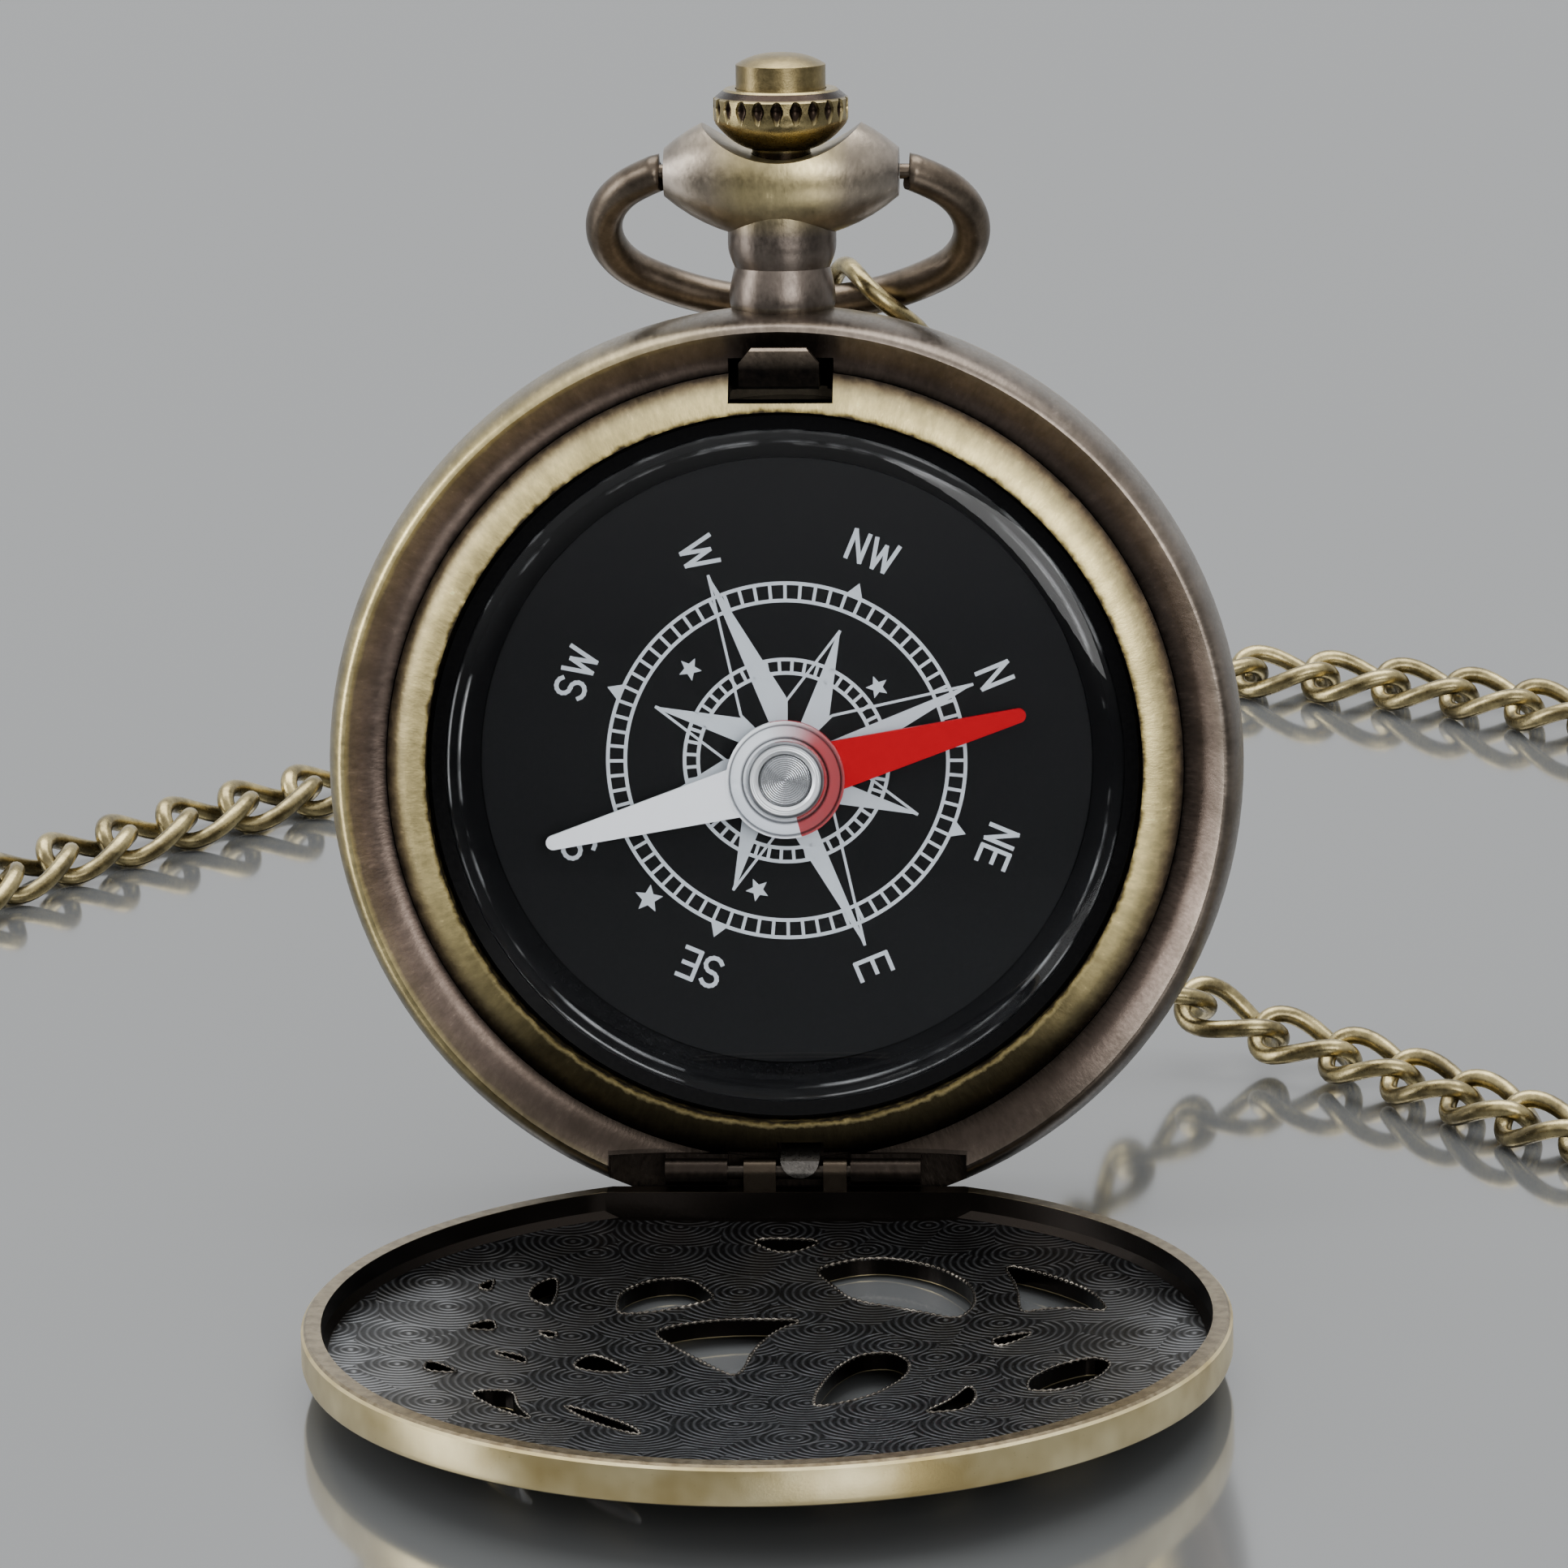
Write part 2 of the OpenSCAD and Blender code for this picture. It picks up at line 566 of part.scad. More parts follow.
/* Hinge */
module hinge_pin() {
    reach = CASE_LUGS[1][1];
    color("#5c5548") in_case() along_pin(CASE_LUGS[0][0], reach - CASE_LUGS[0][0], pin_r);
}

// The lift spring's tongue is held under the bezel, comes out of a notch in it and ends over the pin
module lift_spring() {
    tip = pin_reach + 0.25;
    over = pin_r + 0.07 - pin_depth;
    bend = opening_r + 1.2;
    color("#9a9a98") in_case() intersection() {
        translate([tongue_x + tongue_w / 2, 0, 0]) rotate([90, 0, -90]) linear_extrude(tongue_w) polygon([
            [opening_r + 0.4, tongue_root], [bend, tongue_root], [tip - 0.65, over - 0.05], [tip - 0.2, over],
            [tip, over - 0.03], [tip, over + tongue_t - 0.1], [tip - 0.25, over + tongue_t - 0.04],
            [tip - 0.9, over + tongue_t - 0.1], [bend - 0.1, tongue_root + tongue_t],
            [opening_r + 0.4, tongue_root + tongue_t]]);
        translate([tongue_x, 0, -5]) linear_extrude(6) union() {
            translate([-tongue_w / 2 - 1, -tip + tongue_w / 2]) square([tongue_w + 2, 5]);
            translate([0, -tip + tongue_w / 2]) circle(r = tongue_w / 2);
        }
    }
}

/* Lid */
rim_in_r = lid_r - rim_wall;
// Rows: the corners of each pierced hole, x to the right and y from the hinge towards the far edge
// when the lid is seen from its inner side, in hundredths of the lid's radius
HOLES = [
    [[-9.4, -75.1], [10.3, -74.2], [0.4, -63.5]],
    [[-34.3, -27], [-34.3, -39.9], [-27.9, -48.1], [-19.3, -49.4], [-13.7, -38.6], [-13.7, -35.2],
        [-23.2, -28.3], [-32.2, -24.9]],
    [[6.9, -55.4], [15.9, -61.8], [24, -62.2], [34.3, -56.2], [42.1, -44.6], [43.8, -30.9],
        [40.3, -21], [30.9, -27.5], [16.7, -34.8], [12, -44.2]],
    [[48.1, -57.5], [59.2, -48.9], [68.7, -37.8], [73, -23.2], [66.5, -26.6], [58.8, -27],
        [53.2, -24.5], [52.4, -40.8]],
    [[-26.2, -13.7], [-18.5, -20.2], [-7.3, -23.2], [7.7, -22.3], [1.3, -16.3], [-3, -3.4],
        [-5.2, 17.2], [-11.2, 9.9], [-18.9, -1.7]],
    [[19.7, 0.9], [26.6, -0.4], [30.9, 6], [30.9, 15.9], [24.5, 29.6], [11.6, 38.6], [11.6, 27.5],
        [14.6, 11.2]],
    [[47.2, -8.2], [58.4, -12.4], [49.8, -1.3]],
    [[70, 6.4], [74.7, 11.2], [71.7, 21.9], [63.5, 29.2], [56.7, 28.8], [56.7, 20.2], [62.2, 11.6]],
    [[44.2, 22.7], [46.4, 30.5], [44.6, 40.8], [34.3, 42.9], [40.8, 33.5]],
    [[-48.5, -48.9], [-47.6, -38.6], [-48.5, -28.3], [-54.1, -34.3], [-53.2, -42.9]],
    [[-61.8, -46.4], [-62.2, -37.3], [-65.7, -40.3]],
    [[-60.5, -20.2], [-58.8, -11.6], [-67, -12.9]],
    [[-51.1, -12.9], [-45.5, -12], [-46.8, -7.3]],
    [[-37.8, 0], [-26.2, 15.5], [-42.5, 12.4]],
    [[-60.5, 0.9], [-51.5, 4.3], [-51.1, 10.7]],
    [[-72.5, 8.6], [-63.9, 17.6], [-73, 17.2]],
    [[-63.1, 29.6], [-52.4, 27.9], [-51.1, 39.5], [-46.4, 49.4], [-54.5, 42.9]],
    [[-42.5, 36.9], [-36.5, 40.8], [-25.3, 51.9], [-23.2, 59.2], [-34.8, 49.4]]];
// Each corner is rounded by a few points of a curve between the middles of its two sides
function rounded(p, keep, n) = [for (i = [0:len(p) - 1]) let (
    q = p[i], a = p[(i + len(p) - 1) % len(p)], b = p[(i + 1) % len(p)],
    from = q + (a - q) * keep, to = q + (b - q) * keep)
    for (k = [0:n]) let (s = k / n) pow(1 - s, 2) * from + 2 * s * (1 - s) * q + pow(s, 2) * to];

module lid_outside() {
    rotate_extrude() polygon(concat([[0, 0], [lid_r - 0.25, 0], [lid_r, 0.25], [lid_r, rim_h - 0.45],
        [lid_r - 0.12, rim_h - 0.12], [lid_r - 0.45, rim_h + dome_z(lid_r - 0.45, lid_dome, lid_r)]],
        [for (i = [8:-1:0]) let (r = (lid_r - 1) * i / 8) [r, rim_h + dome_z(r, lid_dome, lid_r)]]));
}
module lid_inside() {
    rotate_extrude() polygon(concat([[0, -1], [rim_in_r, -1], [rim_in_r, rim_h - plate_t - 0.3],
        [rim_in_r - 0.3, rim_h - plate_t + dome_z(rim_in_r - 0.3, lid_dome, lid_r)]],
        [for (i = [8:-1:0]) let (r = (rim_in_r - 1) * i / 8)
            [r, rim_h - plate_t + dome_z(r, lid_dome, lid_r)]]));
}
module lid() {
    color("#6f6450") in_lid() difference() {
        union() {
            difference() {
                lid_outside();
                bar([-lid_r, lid_r], [-lid_r - 1, -chord_y], [-1, lid_top + 1]);
                intersection() {
                    lid_inside();
                    bar([-lid_r, lid_r], [-chord_y + rim_wall, lid_r], [-1, lid_top + 1]);
                }
                for (h = HOLES) linear_extrude(lid_top + 1)
                    polygon([for (p = rounded(h, 0.42, 3)) p * lid_r / 100]);
            }
            for (x = LID_KNUCKLES) {
                along_pin(x[0], x[1] - x[0], knuckle_r);
                bar(x, [-pin_reach - 0.15, -pin_reach + knuckle_r], [-pin_depth, 0.1]);
            }
        }
        along_pin(-recess_half_w, 2 * recess_half_w, pin_r + turn_gap);
    }
}

/* Chain */
// Where the first link holds the bow's wire
bow_hold_x = 3.6;
bow_hold_y = far_c[1] + sqrt(pow(bow_long_r, 2) - pow(bow_hold_x, 2));
// Where the chain runs: down from the bow behind the case, over the surface, in one wide loop to the
// right and back behind the case to its clasp. Points as x, y and height above the surface.
ROUTE = concat([in_part([bow_hold_x + bow_shift, barrel_y - bow_hold_y * cos(bow_fold),
    -stem_depth - bow_hold_y * sin(bow_fold)])],
    [[5.75, 19.45, 36.5], [7.85, 21, 28.6], [10, 22.3, 21], [12.4, 23.3, 13.6], [15.4, 24, 7.8],
    [19.6, 24.1, 4], [24.2, 23, 2.2], [28.4, 21, 1.6], [34, 16.4, 1.3], [40.2, 10.6, 1.25],
    [48.4, 6.8, 1.25], [57.2, 8, 1.25], [63.7, 13.9, 1.25], [66.6, 22.5, 1.25], [65.8, 33, 1.25],
    [63.5, 44.5, 1.25], [58, 57, 1.25], [50, 68.5, 1.25], [40.3, 76.4, 1.25], [30, 81.5, 1.25],
    [18, 84, 1.25], [4, 83.5, 1.25], [-9, 79.5, 1.25], [-19.5, 72, 1.25], [-28.8, 64.6, 1.25],
    [-37, 58, 1.25], [-45.9, 48.9, 1.25], [-52, 38, 1.25], [-55, 26, 1.25], [-56, 14, 1.25],
    [-56, 0, 1.25], [-54, -14, 1.25]]);

// A smooth curve through the route, cut into short steps, with its running length
STEPS = 8;
function on_curve(p, i, s) = let (a = p[max(i - 1, 0)], b = p[i], c = p[i + 1], d = p[min(i + 2, len(p) - 1)])
    0.5 * (2 * b + (c - a) * s + (2 * a - 5 * b + 4 * c - d) * s * s + (3 * b - a - 3 * c + d) * s * s * s);
CURVE = [for (i = [0:len(ROUTE) - 2], k = [0:STEPS - 1]) on_curve(ROUTE, i, k / STEPS)];
function run_up(p, i, sum) = i == len(p) ? [] : concat([sum],
    run_up(p, i + 1, i + 1 < len(p) ? sum + norm(p[i + 1] - p[i]) : sum));
LENGTHS = run_up(CURVE, 0, 0);
TABLE = [for (axis = [0:2]) [for (i = [0:len(CURVE) - 1]) [LENGTHS[i], CURVE[i][axis]]]];
function place(s) = [lookup(s, TABLE[0]), lookup(s, TABLE[1]), lookup(s, TABLE[2])];
function heading(s) = unit(place(s + link_pitch / 2) - place(s - link_pitch / 2));
// The flat side of a link looks up, as far as its heading lets it; the hanging links turn round to the bow
bow_roll = -26;
function flat_up(t) = unit([0, 0, 1] - t[2] * t);
function flat(s, t) = let (r = bow_roll * max(0, 1 - s / (9 * link_pitch)), n = flat_up(t))
    n * cos(r) + cross(t, n) * sin(r);

// A link: an oval ring of wire, twisted about its long axis, with 14 stations of 6 points
STATIONS = 14;
WIRE_SIDES = 6;
function oval(a, l, w) = let (c = cos(a), s = sin(a), e = 2 / 2.4)
    [(l - link_wire) / 2 * sign(c) * pow(abs(c), e), (w - link_wire) / 2 * sign(s) * pow(abs(s), e)];
function twisted(a, l, w) = let (p = oval(a, l, w), turn = -link_twist / 2 * p[0] / ((l - link_wire) / 2))
    [p[0], p[1] * cos(turn), p[1] * sin(turn)];
function flat_side(a, l, w) = let (p = oval(a, l, w), turn = -link_twist / 2 * p[0] / ((l - link_wire) / 2))
    [0, -sin(turn), cos(turn)];
function ring_points(l, w) = [for (i = [0:STATIONS - 1]) let (
    a = 360 * i / STATIONS, t = unit(twisted(a + 2, l, w) - twisted(a - 2, l, w)), g = flat_side(a, l, w),
    b = unit(g - (g * t) * t), n = cross(b, t))
    for (k = [0:WIRE_SIDES - 1]) let (u = 360 * k / WIRE_SIDES)
        twisted(a, l, w) + link_wire / 2 * (cos(u) * n + sin(u) * b)];
RING_FACES = [for (f = concat(tube_faces(STATIONS, WIRE_SIDES), [for (f = tube_faces(2, WIRE_SIDES))
    [for (v = f) v < WIRE_SIDES ? v + (STATIONS - 1) * WIRE_SIDES : v - WIRE_SIDES]])) f];
LINK = ring_points(link_l, link_w);
// The first link is larger, to hold the bow
first_l = link_l + 2;
first_w = link_w + 2.2;
FIRST_LINK = ring_points(first_l, first_w);
first_s = first_l / 2 - link_wire - bow_wire_r - 0.3;

module placed_link(i, shape) {
    s = first_s + i * link_pitch;
    t = heading(s);
    n = flat(s, t);
    b = cross(n, t);
    c = place(s);
    multmatrix([[t[0], b[0], n[0], c[0]], [t[1], b[1], n[1], c[1]], [t[2], b[2], n[2], c[2]], [0, 0, 0, 1]])
        polyhedron(points = shape, faces = RING_FACES, convexity = 4);
}
module chain() {
    color("#a8945f") for (i = [0:link_count - 1]) placed_link(i, i == 0 ? FIRST_LINK : LINK);
}

// The clasp: an eye that takes the last link, a short neck and a closed flat loop
eye_r = 1.35;
eye_wire_r = 0.4;
eye_height = 1.4;
eye_reach = link_l / 2 - link_wire - 0.2 - eye_wire_r + eye_r;
module clasp() {
    s = first_s + (link_count - 1) * link_pitch + eye_reach;
    t = heading(s);
    c = place(s);
    side = clasp_w / 2 - clasp_t / 2;
    start = eye_r + 1 + clasp_w / 2;
    color("#a8945f") translate([c[0], c[1], 0]) rotate([0, 0, atan2(t[1], t[0])]) union() {
        translate([0, 0, eye_height]) rotate([45, 0, 0]) rotate_extrude() translate([eye_r, 0])
            circle(r = eye_wire_r, $fn = 24);
        translate([eye_r, 0, clasp_t / 2 + 0.1]) rotate([0, 90, 0]) cylinder(h = 1.6, r = 0.55, $fn = 24);
        translate([0, 0, 0.05]) linear_extrude(clasp_t) difference() {
            loop_outline(start, clasp_w / 2);
            loop_outline(start, side - clasp_t / 2);
        }
    }
}
module loop_outline(x, r) {
    translate([x, 0]) circle(r = r);
    translate([x + clasp_l - clasp_w, 0]) circle(r = r);
    translate([x, -r]) square([clasp_l - clasp_w, 2 * r]);
}

case_body();
bezel();
capsule();
dial();
pivot();
needle();
needle_hub();
needle_collar();
crystal();
crown();
crown_button();
catch();
bow();
hinge_pin();
lift_spring();
lid();
chain();
clasp();
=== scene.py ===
# %% [markdown]
# A compass pendant in an antiqued pocket-watch case. The imported CAD model gives every size and
# place, and this notebook dresses it: smooth surfaces for the bow and the chain, the print of the
# dial, the beaded edges of the pierced lid, and a finish for each piece. Blender never moves or
# resizes the model.

# %% The frame
import bpy
import json
import math
import numpy as np
from mathutils import Matrix, Vector


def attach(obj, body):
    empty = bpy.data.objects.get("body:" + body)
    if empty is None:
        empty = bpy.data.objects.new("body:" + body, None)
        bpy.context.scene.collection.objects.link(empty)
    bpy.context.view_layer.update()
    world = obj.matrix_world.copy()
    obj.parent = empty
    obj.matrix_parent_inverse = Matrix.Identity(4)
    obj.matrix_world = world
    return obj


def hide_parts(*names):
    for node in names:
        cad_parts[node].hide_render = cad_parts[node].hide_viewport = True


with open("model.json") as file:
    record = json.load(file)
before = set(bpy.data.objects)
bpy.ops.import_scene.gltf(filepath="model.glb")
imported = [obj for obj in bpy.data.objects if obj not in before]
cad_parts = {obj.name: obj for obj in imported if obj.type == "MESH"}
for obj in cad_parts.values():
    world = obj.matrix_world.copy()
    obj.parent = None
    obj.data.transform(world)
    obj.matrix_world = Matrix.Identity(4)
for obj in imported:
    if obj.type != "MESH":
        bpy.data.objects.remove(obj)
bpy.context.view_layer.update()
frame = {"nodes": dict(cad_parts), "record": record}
nodes = frame["nodes"]
joints = {j["name"]: j for j in frame["record"]["behaviour"]["joints"]}

# %% [markdown]
# Two frames of the CAD model are used again here. The dial frame has x to the right, y up towards
# the crown and z out of the dial, and it leans back as the case does. The lid frame is the same
# one, turned about the hinge pin by the opening angle. Both are in millimetres, as the drawing is.

# %% Dial frame and lid frame
MM = 0.001
HINGE_Z = joints["lid_hinge"]["pos_m"][2] / MM
UP = joints["crown_turn"]["axis"]
LEAN = math.atan2(UP[1], UP[2])
OPEN = math.radians(joints["lid_hinge"]["range_deg"][1])
PIN_REACH, PIN_DEPTH, STEM_DEPTH = 21.0, 0.87, 3.9
DIAL_DEPTH, PIVOT_DROP, NEEDLE_TURN = 3.5, 0.8, 15.3
LID_R, RIM_H, LID_DOME, PLATE_T = 23.3, 2.2, 0.7, 0.9
PIN = np.array([0, PIN_REACH, PIN_DEPTH])


def turn_x(angle):
    """Rotation about x: y' = y cos a - z sin a, z' = y sin a + z cos a."""
    c, s = math.cos(angle), math.sin(angle)
    return np.array([[1, 0, 0], [0, c, -s], [0, s, c]])


CASE_TURN = turn_x(math.pi / 2 - LEAN)
LID_TURN = turn_x(math.pi / 2 - LEAN + OPEN)


def from_dial(p):
    """Part frame in metres: R (p + pin) + (0, 0, hinge height), R the turn of the leaning case."""
    return ((np.asarray(p, float) + PIN) @ CASE_TURN.T + [0, 0, HINGE_Z]) * MM


def from_lid(p):
    """The same for the lid, which is turned about the pin by the opening angle as well."""
    return ((np.asarray(p, float) + PIN) @ LID_TURN.T + [0, 0, HINGE_Z]) * MM


print("lean", round(math.degrees(LEAN), 3), "hinge height", round(HINGE_Z, 3))

# %% [markdown]
# Every new surface is a grid of points, from two parameters or from a profile that is carried
# along a path. One function turns such arrays into a piece that rides on its body.

# %% Surfaces from arrays


def grid_faces(rows, cols, close_rows=False, close_cols=False):
    """Quads (i, j), (i+1, j), (i+1, j+1), (i, j+1) of a grid, wrapped round where it is closed."""
    down = np.arange(rows if close_rows else rows - 1)
    right = np.arange(cols if close_cols else cols - 1)
    i, j = np.meshgrid(down, right, indexing="ij")
    a, b = i % rows, (i + 1) % rows
    c, d = j % cols, (j + 1) % cols
    return np.stack([a * cols + c, b * cols + c, b * cols + d, a * cols + d], -1).reshape(-1, 4)


def piece(name, verts, faces, body, material, replaces=(), smooth=True):
    """A mesh of these points and faces (all of one length), riding on a body."""
    verts, faces = np.asarray(verts, float), np.asarray(faces, int)
    mesh = bpy.data.meshes.new(name)
    mesh.vertices.add(len(verts))
    mesh.vertices.foreach_set("co", verts.ravel())
    k = faces.shape[1]
    mesh.loops.add(faces.size)
    mesh.loops.foreach_set("vertex_index", faces.ravel())
    mesh.polygons.add(len(faces))
    mesh.polygons.foreach_set("loop_start", np.arange(0, faces.size, k))
    mesh.polygons.foreach_set("use_smooth", np.full(len(faces), smooth))
    mesh.update(calc_edges=True)
    mesh.validate()
    obj = bpy.data.objects.new(name, mesh)
    bpy.context.scene.collection.objects.link(obj)
    mesh.materials.append(material)
    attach(obj, body)
    if replaces:
        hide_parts(*replaces)
    print(name, len(verts), "points", len(faces), "faces")
    return obj


def unit(v):
    """v / |v| along the last axis."""
    return v / np.linalg.norm(v, axis=-1, keepdims=True)


def sweep(path, side, up, radius, sides, close=False):
    """Tube points: path + radius (cos u side + sin u up), u in equal steps round the tube."""
    u = np.linspace(0, 2 * math.pi, sides, endpoint=False)
    r = np.broadcast_to(np.asarray(radius, float), (len(path),))[:, None, None]
    ring = np.cos(u)[None, :, None] * side[:, None, :] + np.sin(u)[None, :, None] * up[:, None, :]
    return (path[:, None, :] + r * ring).reshape(-1, 3), grid_faces(len(path), sides, close, True)


# %% [markdown]
# Shading is built from nodes alone, and one function adds any node with its links and settings.
# Colours are written as they look on a screen, and another function turns them into linear light.

# %% Colours and nodes


def linear(code, alpha=1.0):
    """'#rrggbb' to linear light: ((c + 0.055) / 1.055) ** 2.4 above the straight foot of the curve."""
    c = np.array([int(code[i:i + 2], 16) for i in (1, 3, 5)]) / 255
    c = np.where(c <= 0.04045, c / 12.92, ((c + 0.055) / 1.055) ** 2.4)
    return (*[float(v) for v in c], alpha)


def connect(tree, node, links):
    """Fill inputs, given by name or number: a socket is linked, and anything else is a value."""
    for key, value in links.items():
        if isinstance(value, bpy.types.NodeSocket):
            tree.links.new(value, node.inputs[key])
        else:
            node.inputs[key].default_value = value


def add(tree, kind, links=(), out=0, stops=(), span=1.0, **settings):
    """One shader node, and of it the output that is asked for.

    links: its inputs, in order or by name. stops: the (place, colour or grey) pairs of a colour ramp,
    whose value and places are counted over this span. settings: the node's own properties.
    """
    node = tree.nodes.new("ShaderNode" + kind)
    for key, value in settings.items():
        setattr(node, key, value)
    if stops:
        links = [add(tree, "Math", [links[0], span], operation="DIVIDE")]
        elements = node.color_ramp.elements
        while len(elements) < len(stops):
            elements.new(0.5)
        for k, (place, colour) in enumerate(stops):
            elements[k].position = place / span
            elements[k].color = linear(colour) if isinstance(colour, str) else (colour, colour, colour, 1)
    connect(tree, node, links if isinstance(links, dict) else dict(enumerate(links)))
    return node.outputs[out]


def material(name, **values):
    """A material with one principled shader: its tree, that shader and the material."""
    mat = bpy.data.materials.new(name)
    mat.use_nodes = True
    shader = mat.node_tree.nodes["Principled BSDF"]
    connect(mat.node_tree, shader, {key.replace("_", " "): value for key, value in values.items()})
    return mat.node_tree, shader, mat


MATERIALS = {}


def keep(**finished):
    """Keep finished materials under short keys."""
    for key, mat in finished.items():
        MATERIALS[key] = mat
        print(mat.name, len(mat.node_tree.nodes), "nodes")


print("brass on a screen is #b3a477, in linear light", [round(c, 3) for c in linear("#b3a477")[:3]])

# %% [markdown]
# Every pattern is laid out in millimetres of the real object, in the frame of the dial or of the lid,
# so it keeps its size and place. A finish changes with the distance from an axis, with the height or
# with the depth, because a polishing wheel reaches some places and leaves others, and because painted
# highlights and painted shade are laid in by place as well.

# %% Places on the object


def coords(tree, turn=None):
    """Object coordinates in millimetres, or in the frame that this turn leads back from."""
    links = {"Vector": add(tree, "TexCoord", out="Object"), "Scale": (1 / MM,) * 3}
    if turn is not None:
        links["Rotation"] = (-math.atan2(turn[2, 1], turn[1, 1]), 0, 0)
        links["Location"] = tuple(-turn.T @ np.array([0, 0, HINGE_Z]) - PIN)
    return add(tree, "Mapping", links)


def radius(tree, vector, axis=2):
    """The distance from one axis, then the coordinates: (sqrt(a a + b b), x, y, z)."""
    xyz = add(tree, "SeparateXYZ", [vector], out=slice(3))
    a, b = xyz[:axis] + xyz[axis + 1:]
    square = add(tree, "Math", [b, b], operation="MULTIPLY")
    square = add(tree, "Math", [a, a, square], operation="MULTIPLY_ADD")
    return add(tree, "Math", [square], operation="SQRT"), *xyz


def within(tree, *limits):
    """1 where each value lies between its own low and high limit, else 0. One that is missing, or
    None, isn't tested."""
    share = 1.0
    for value, *ends in limits:
        for operation, end in zip(("GREATER_THAN", "LESS_THAN"), ends):
            if end is not None:
                test = add(tree, "Math", [value, end], operation=operation)
                share = add(tree, "Math", [share, test], operation="MULTIPLY")
    return share


def ragged(tree, r, vector, waves, reach):
    """A radius with an uneven edge: r + (noise - 0.5) reach, the noise with these waves to a mm."""
    cloud = add(tree, "TexNoise", {"Vector": vector, "Scale": waves, "Detail": 4, "Roughness": 0.55})
    shift = add(tree, "Math", [cloud, reach, -reach / 2], operation="MULTIPLY_ADD")
    return add(tree, "Math", [r, shift], operation="ADD")


def patches(tree, vector, waves, stops, detail=4, rough=0.55):
    """Cloudy patches, these waves to a millimetre, sorted into greys by the stops."""
    cloud = add(tree, "TexNoise", {"Vector": vector, "Scale": waves, "Detail": detail, "Roughness": rough})
    return add(tree, "ValToRGB", [cloud], stops=stops)


def painted(tree, tone, *layers):
    """A tone with other colours laid over it one by one, each by its share between 0 and 1."""
    for share, colour in layers:
        tone = add(tree, "MixRGB", [share, tone, linear(colour)])
    return tone


# %% [markdown]
# The metal of the real piece is cast zinc with a thin brass plating, dipped dark and then rubbed
# back. So the brass shows on edges and high places and the dark dip stays in the hollows. A paint
# texture could show that for one side only. Here each metal is a mix of both by place, with fine
# noise for the rubbing and a fine grain, so it holds from every side.

# %% Rubbed metal


def rubbed(tree, shader, colour, vector, rough=(0.28, 0.42), grain=9.0, depth=0.00001,
           patina="#2c2620", wear=(0.42, 0.62), amount=0.35):
    """colour with dark blotches, a varying roughness and a brushed grain.

    In the vector's unit, which is mostly mm, the blotches are about 2 across, the specks 0.3 and the
    streaks 1 / grain.
    """
    blotch = patches(tree, vector, 0.55, [(0, 0.0), (wear[0], 0.0), (wear[1], 1.0), (1, 1.0)], 5, 0.62)
    fine = add(tree, "TexNoise", {"Vector": vector, "Scale": 3.2, "Detail": 4, "Roughness": 0.6})
    torn = add(tree, "ValToRGB", [fine], stops=[(0, 0.55), (0.4, 0.75), (0.6, 1.0), (1, 1.0)])
    spots = add(tree, "Math", [blotch, torn], operation="MULTIPLY")
    spots = add(tree, "Math", [spots, amount], operation="MULTIPLY")
    tone = add(tree, "MixRGB", [spots, colour, linear(patina)])
    speck = add(tree, "ValToRGB", [fine], stops=[(0, 0.66), (0.35, 0.84), (0.55, 1.0), (0.66, 1.08),
                                                 (0.72, 1.4), (1, 1.5)])
    streak = add(tree, "TexNoise", {"Vector": vector, "Scale": grain, "Detail": 2, "Roughness": 0.5})
    uneven = add(tree, "Math", [fine, 0.4], operation="MULTIPLY")
    uneven = add(tree, "Math", [streak, 0.6, uneven], operation="MULTIPLY_ADD")
    connect(tree, shader, {
        "Base Color": add(tree, "MixRGB", [1.0, tone, speck], blend_type="MULTIPLY"),
        "Roughness": add(tree, "MapRange", [uneven, 0.3, 0.7, *rough]),
        "Normal": add(tree, "Bump", {"Height": streak, "Strength": 0.5, "Distance": depth})})


def brushed(tree, vector):
    """Coordinates that run fast round the case and slowly outwards: (22 a, 0.45 r, 0.45 z)."""
    r, x, y, z = radius(tree, vector)
    angle = add(tree, "Math", [y, x], operation="ARCTAN2")
    bent = add(tree, "CombineXYZ", [angle, r, z])
    return add(tree, "Mapping", {"Vector": bent, "Scale": (22.0, 0.45, 0.45)})


def plain_metal(name, colour, patina="#2c2620", turn=None, **finish):
    """One metal that is the same all over, apart from its rubbing and its grain."""
    tree, shader, mat = material(name, Metallic=1.0)
    rubbed(tree, shader, linear(colour), coords(tree, turn), patina=patina, **finish)
    return mat


keep(button=plain_metal("rubbed_brass_button", "#92835c", rough=(0.3, 0.42), turn=CASE_TURN),
     bow=plain_metal("antique_bronze_bow", "#6b6054", patina="#2d2721", rough=(0.3, 0.4), amount=0.75,
                     wear=(0.45, 0.7)),
     chain=plain_metal("antique_brass_chain", "#b3a477", patina="#2a241c", rough=(0.24, 0.36),
                       amount=0.75, wear=(0.38, 0.6)),
     clasp=plain_metal("satin_brass_clasp", "#ab9d73", patina="#5a5040", rough=(0.3, 0.4), amount=0.3),
     steel=plain_metal("spring_steel", "#7e7a75", patina="#3c3834", rough=(0.24, 0.36)),
     pin=plain_metal("blackened_pin_steel", "#3a3530", patina="#1b1816", rough=(0.3, 0.4)),
     edge=plain_metal("bright_cut_edge", "#7d776e", patina="#24211e", rough=(0.16, 0.28), amount=0.9,
                      wear=(0.3, 0.5)))

# %% [markdown]
# The bezel is the brightest metal, a brass ring turned on a lathe and rubbed along its turning. It
# goes dark towards the crystal, where the dip stayed, and it is darkened with painted shade in the
# slot of the catch and round the bottom.

# %% The bezel's brass
BEZEL_SPAN = 22.0
SLOT_HALF, SLOT_FLOOR = 2.68, 18.84


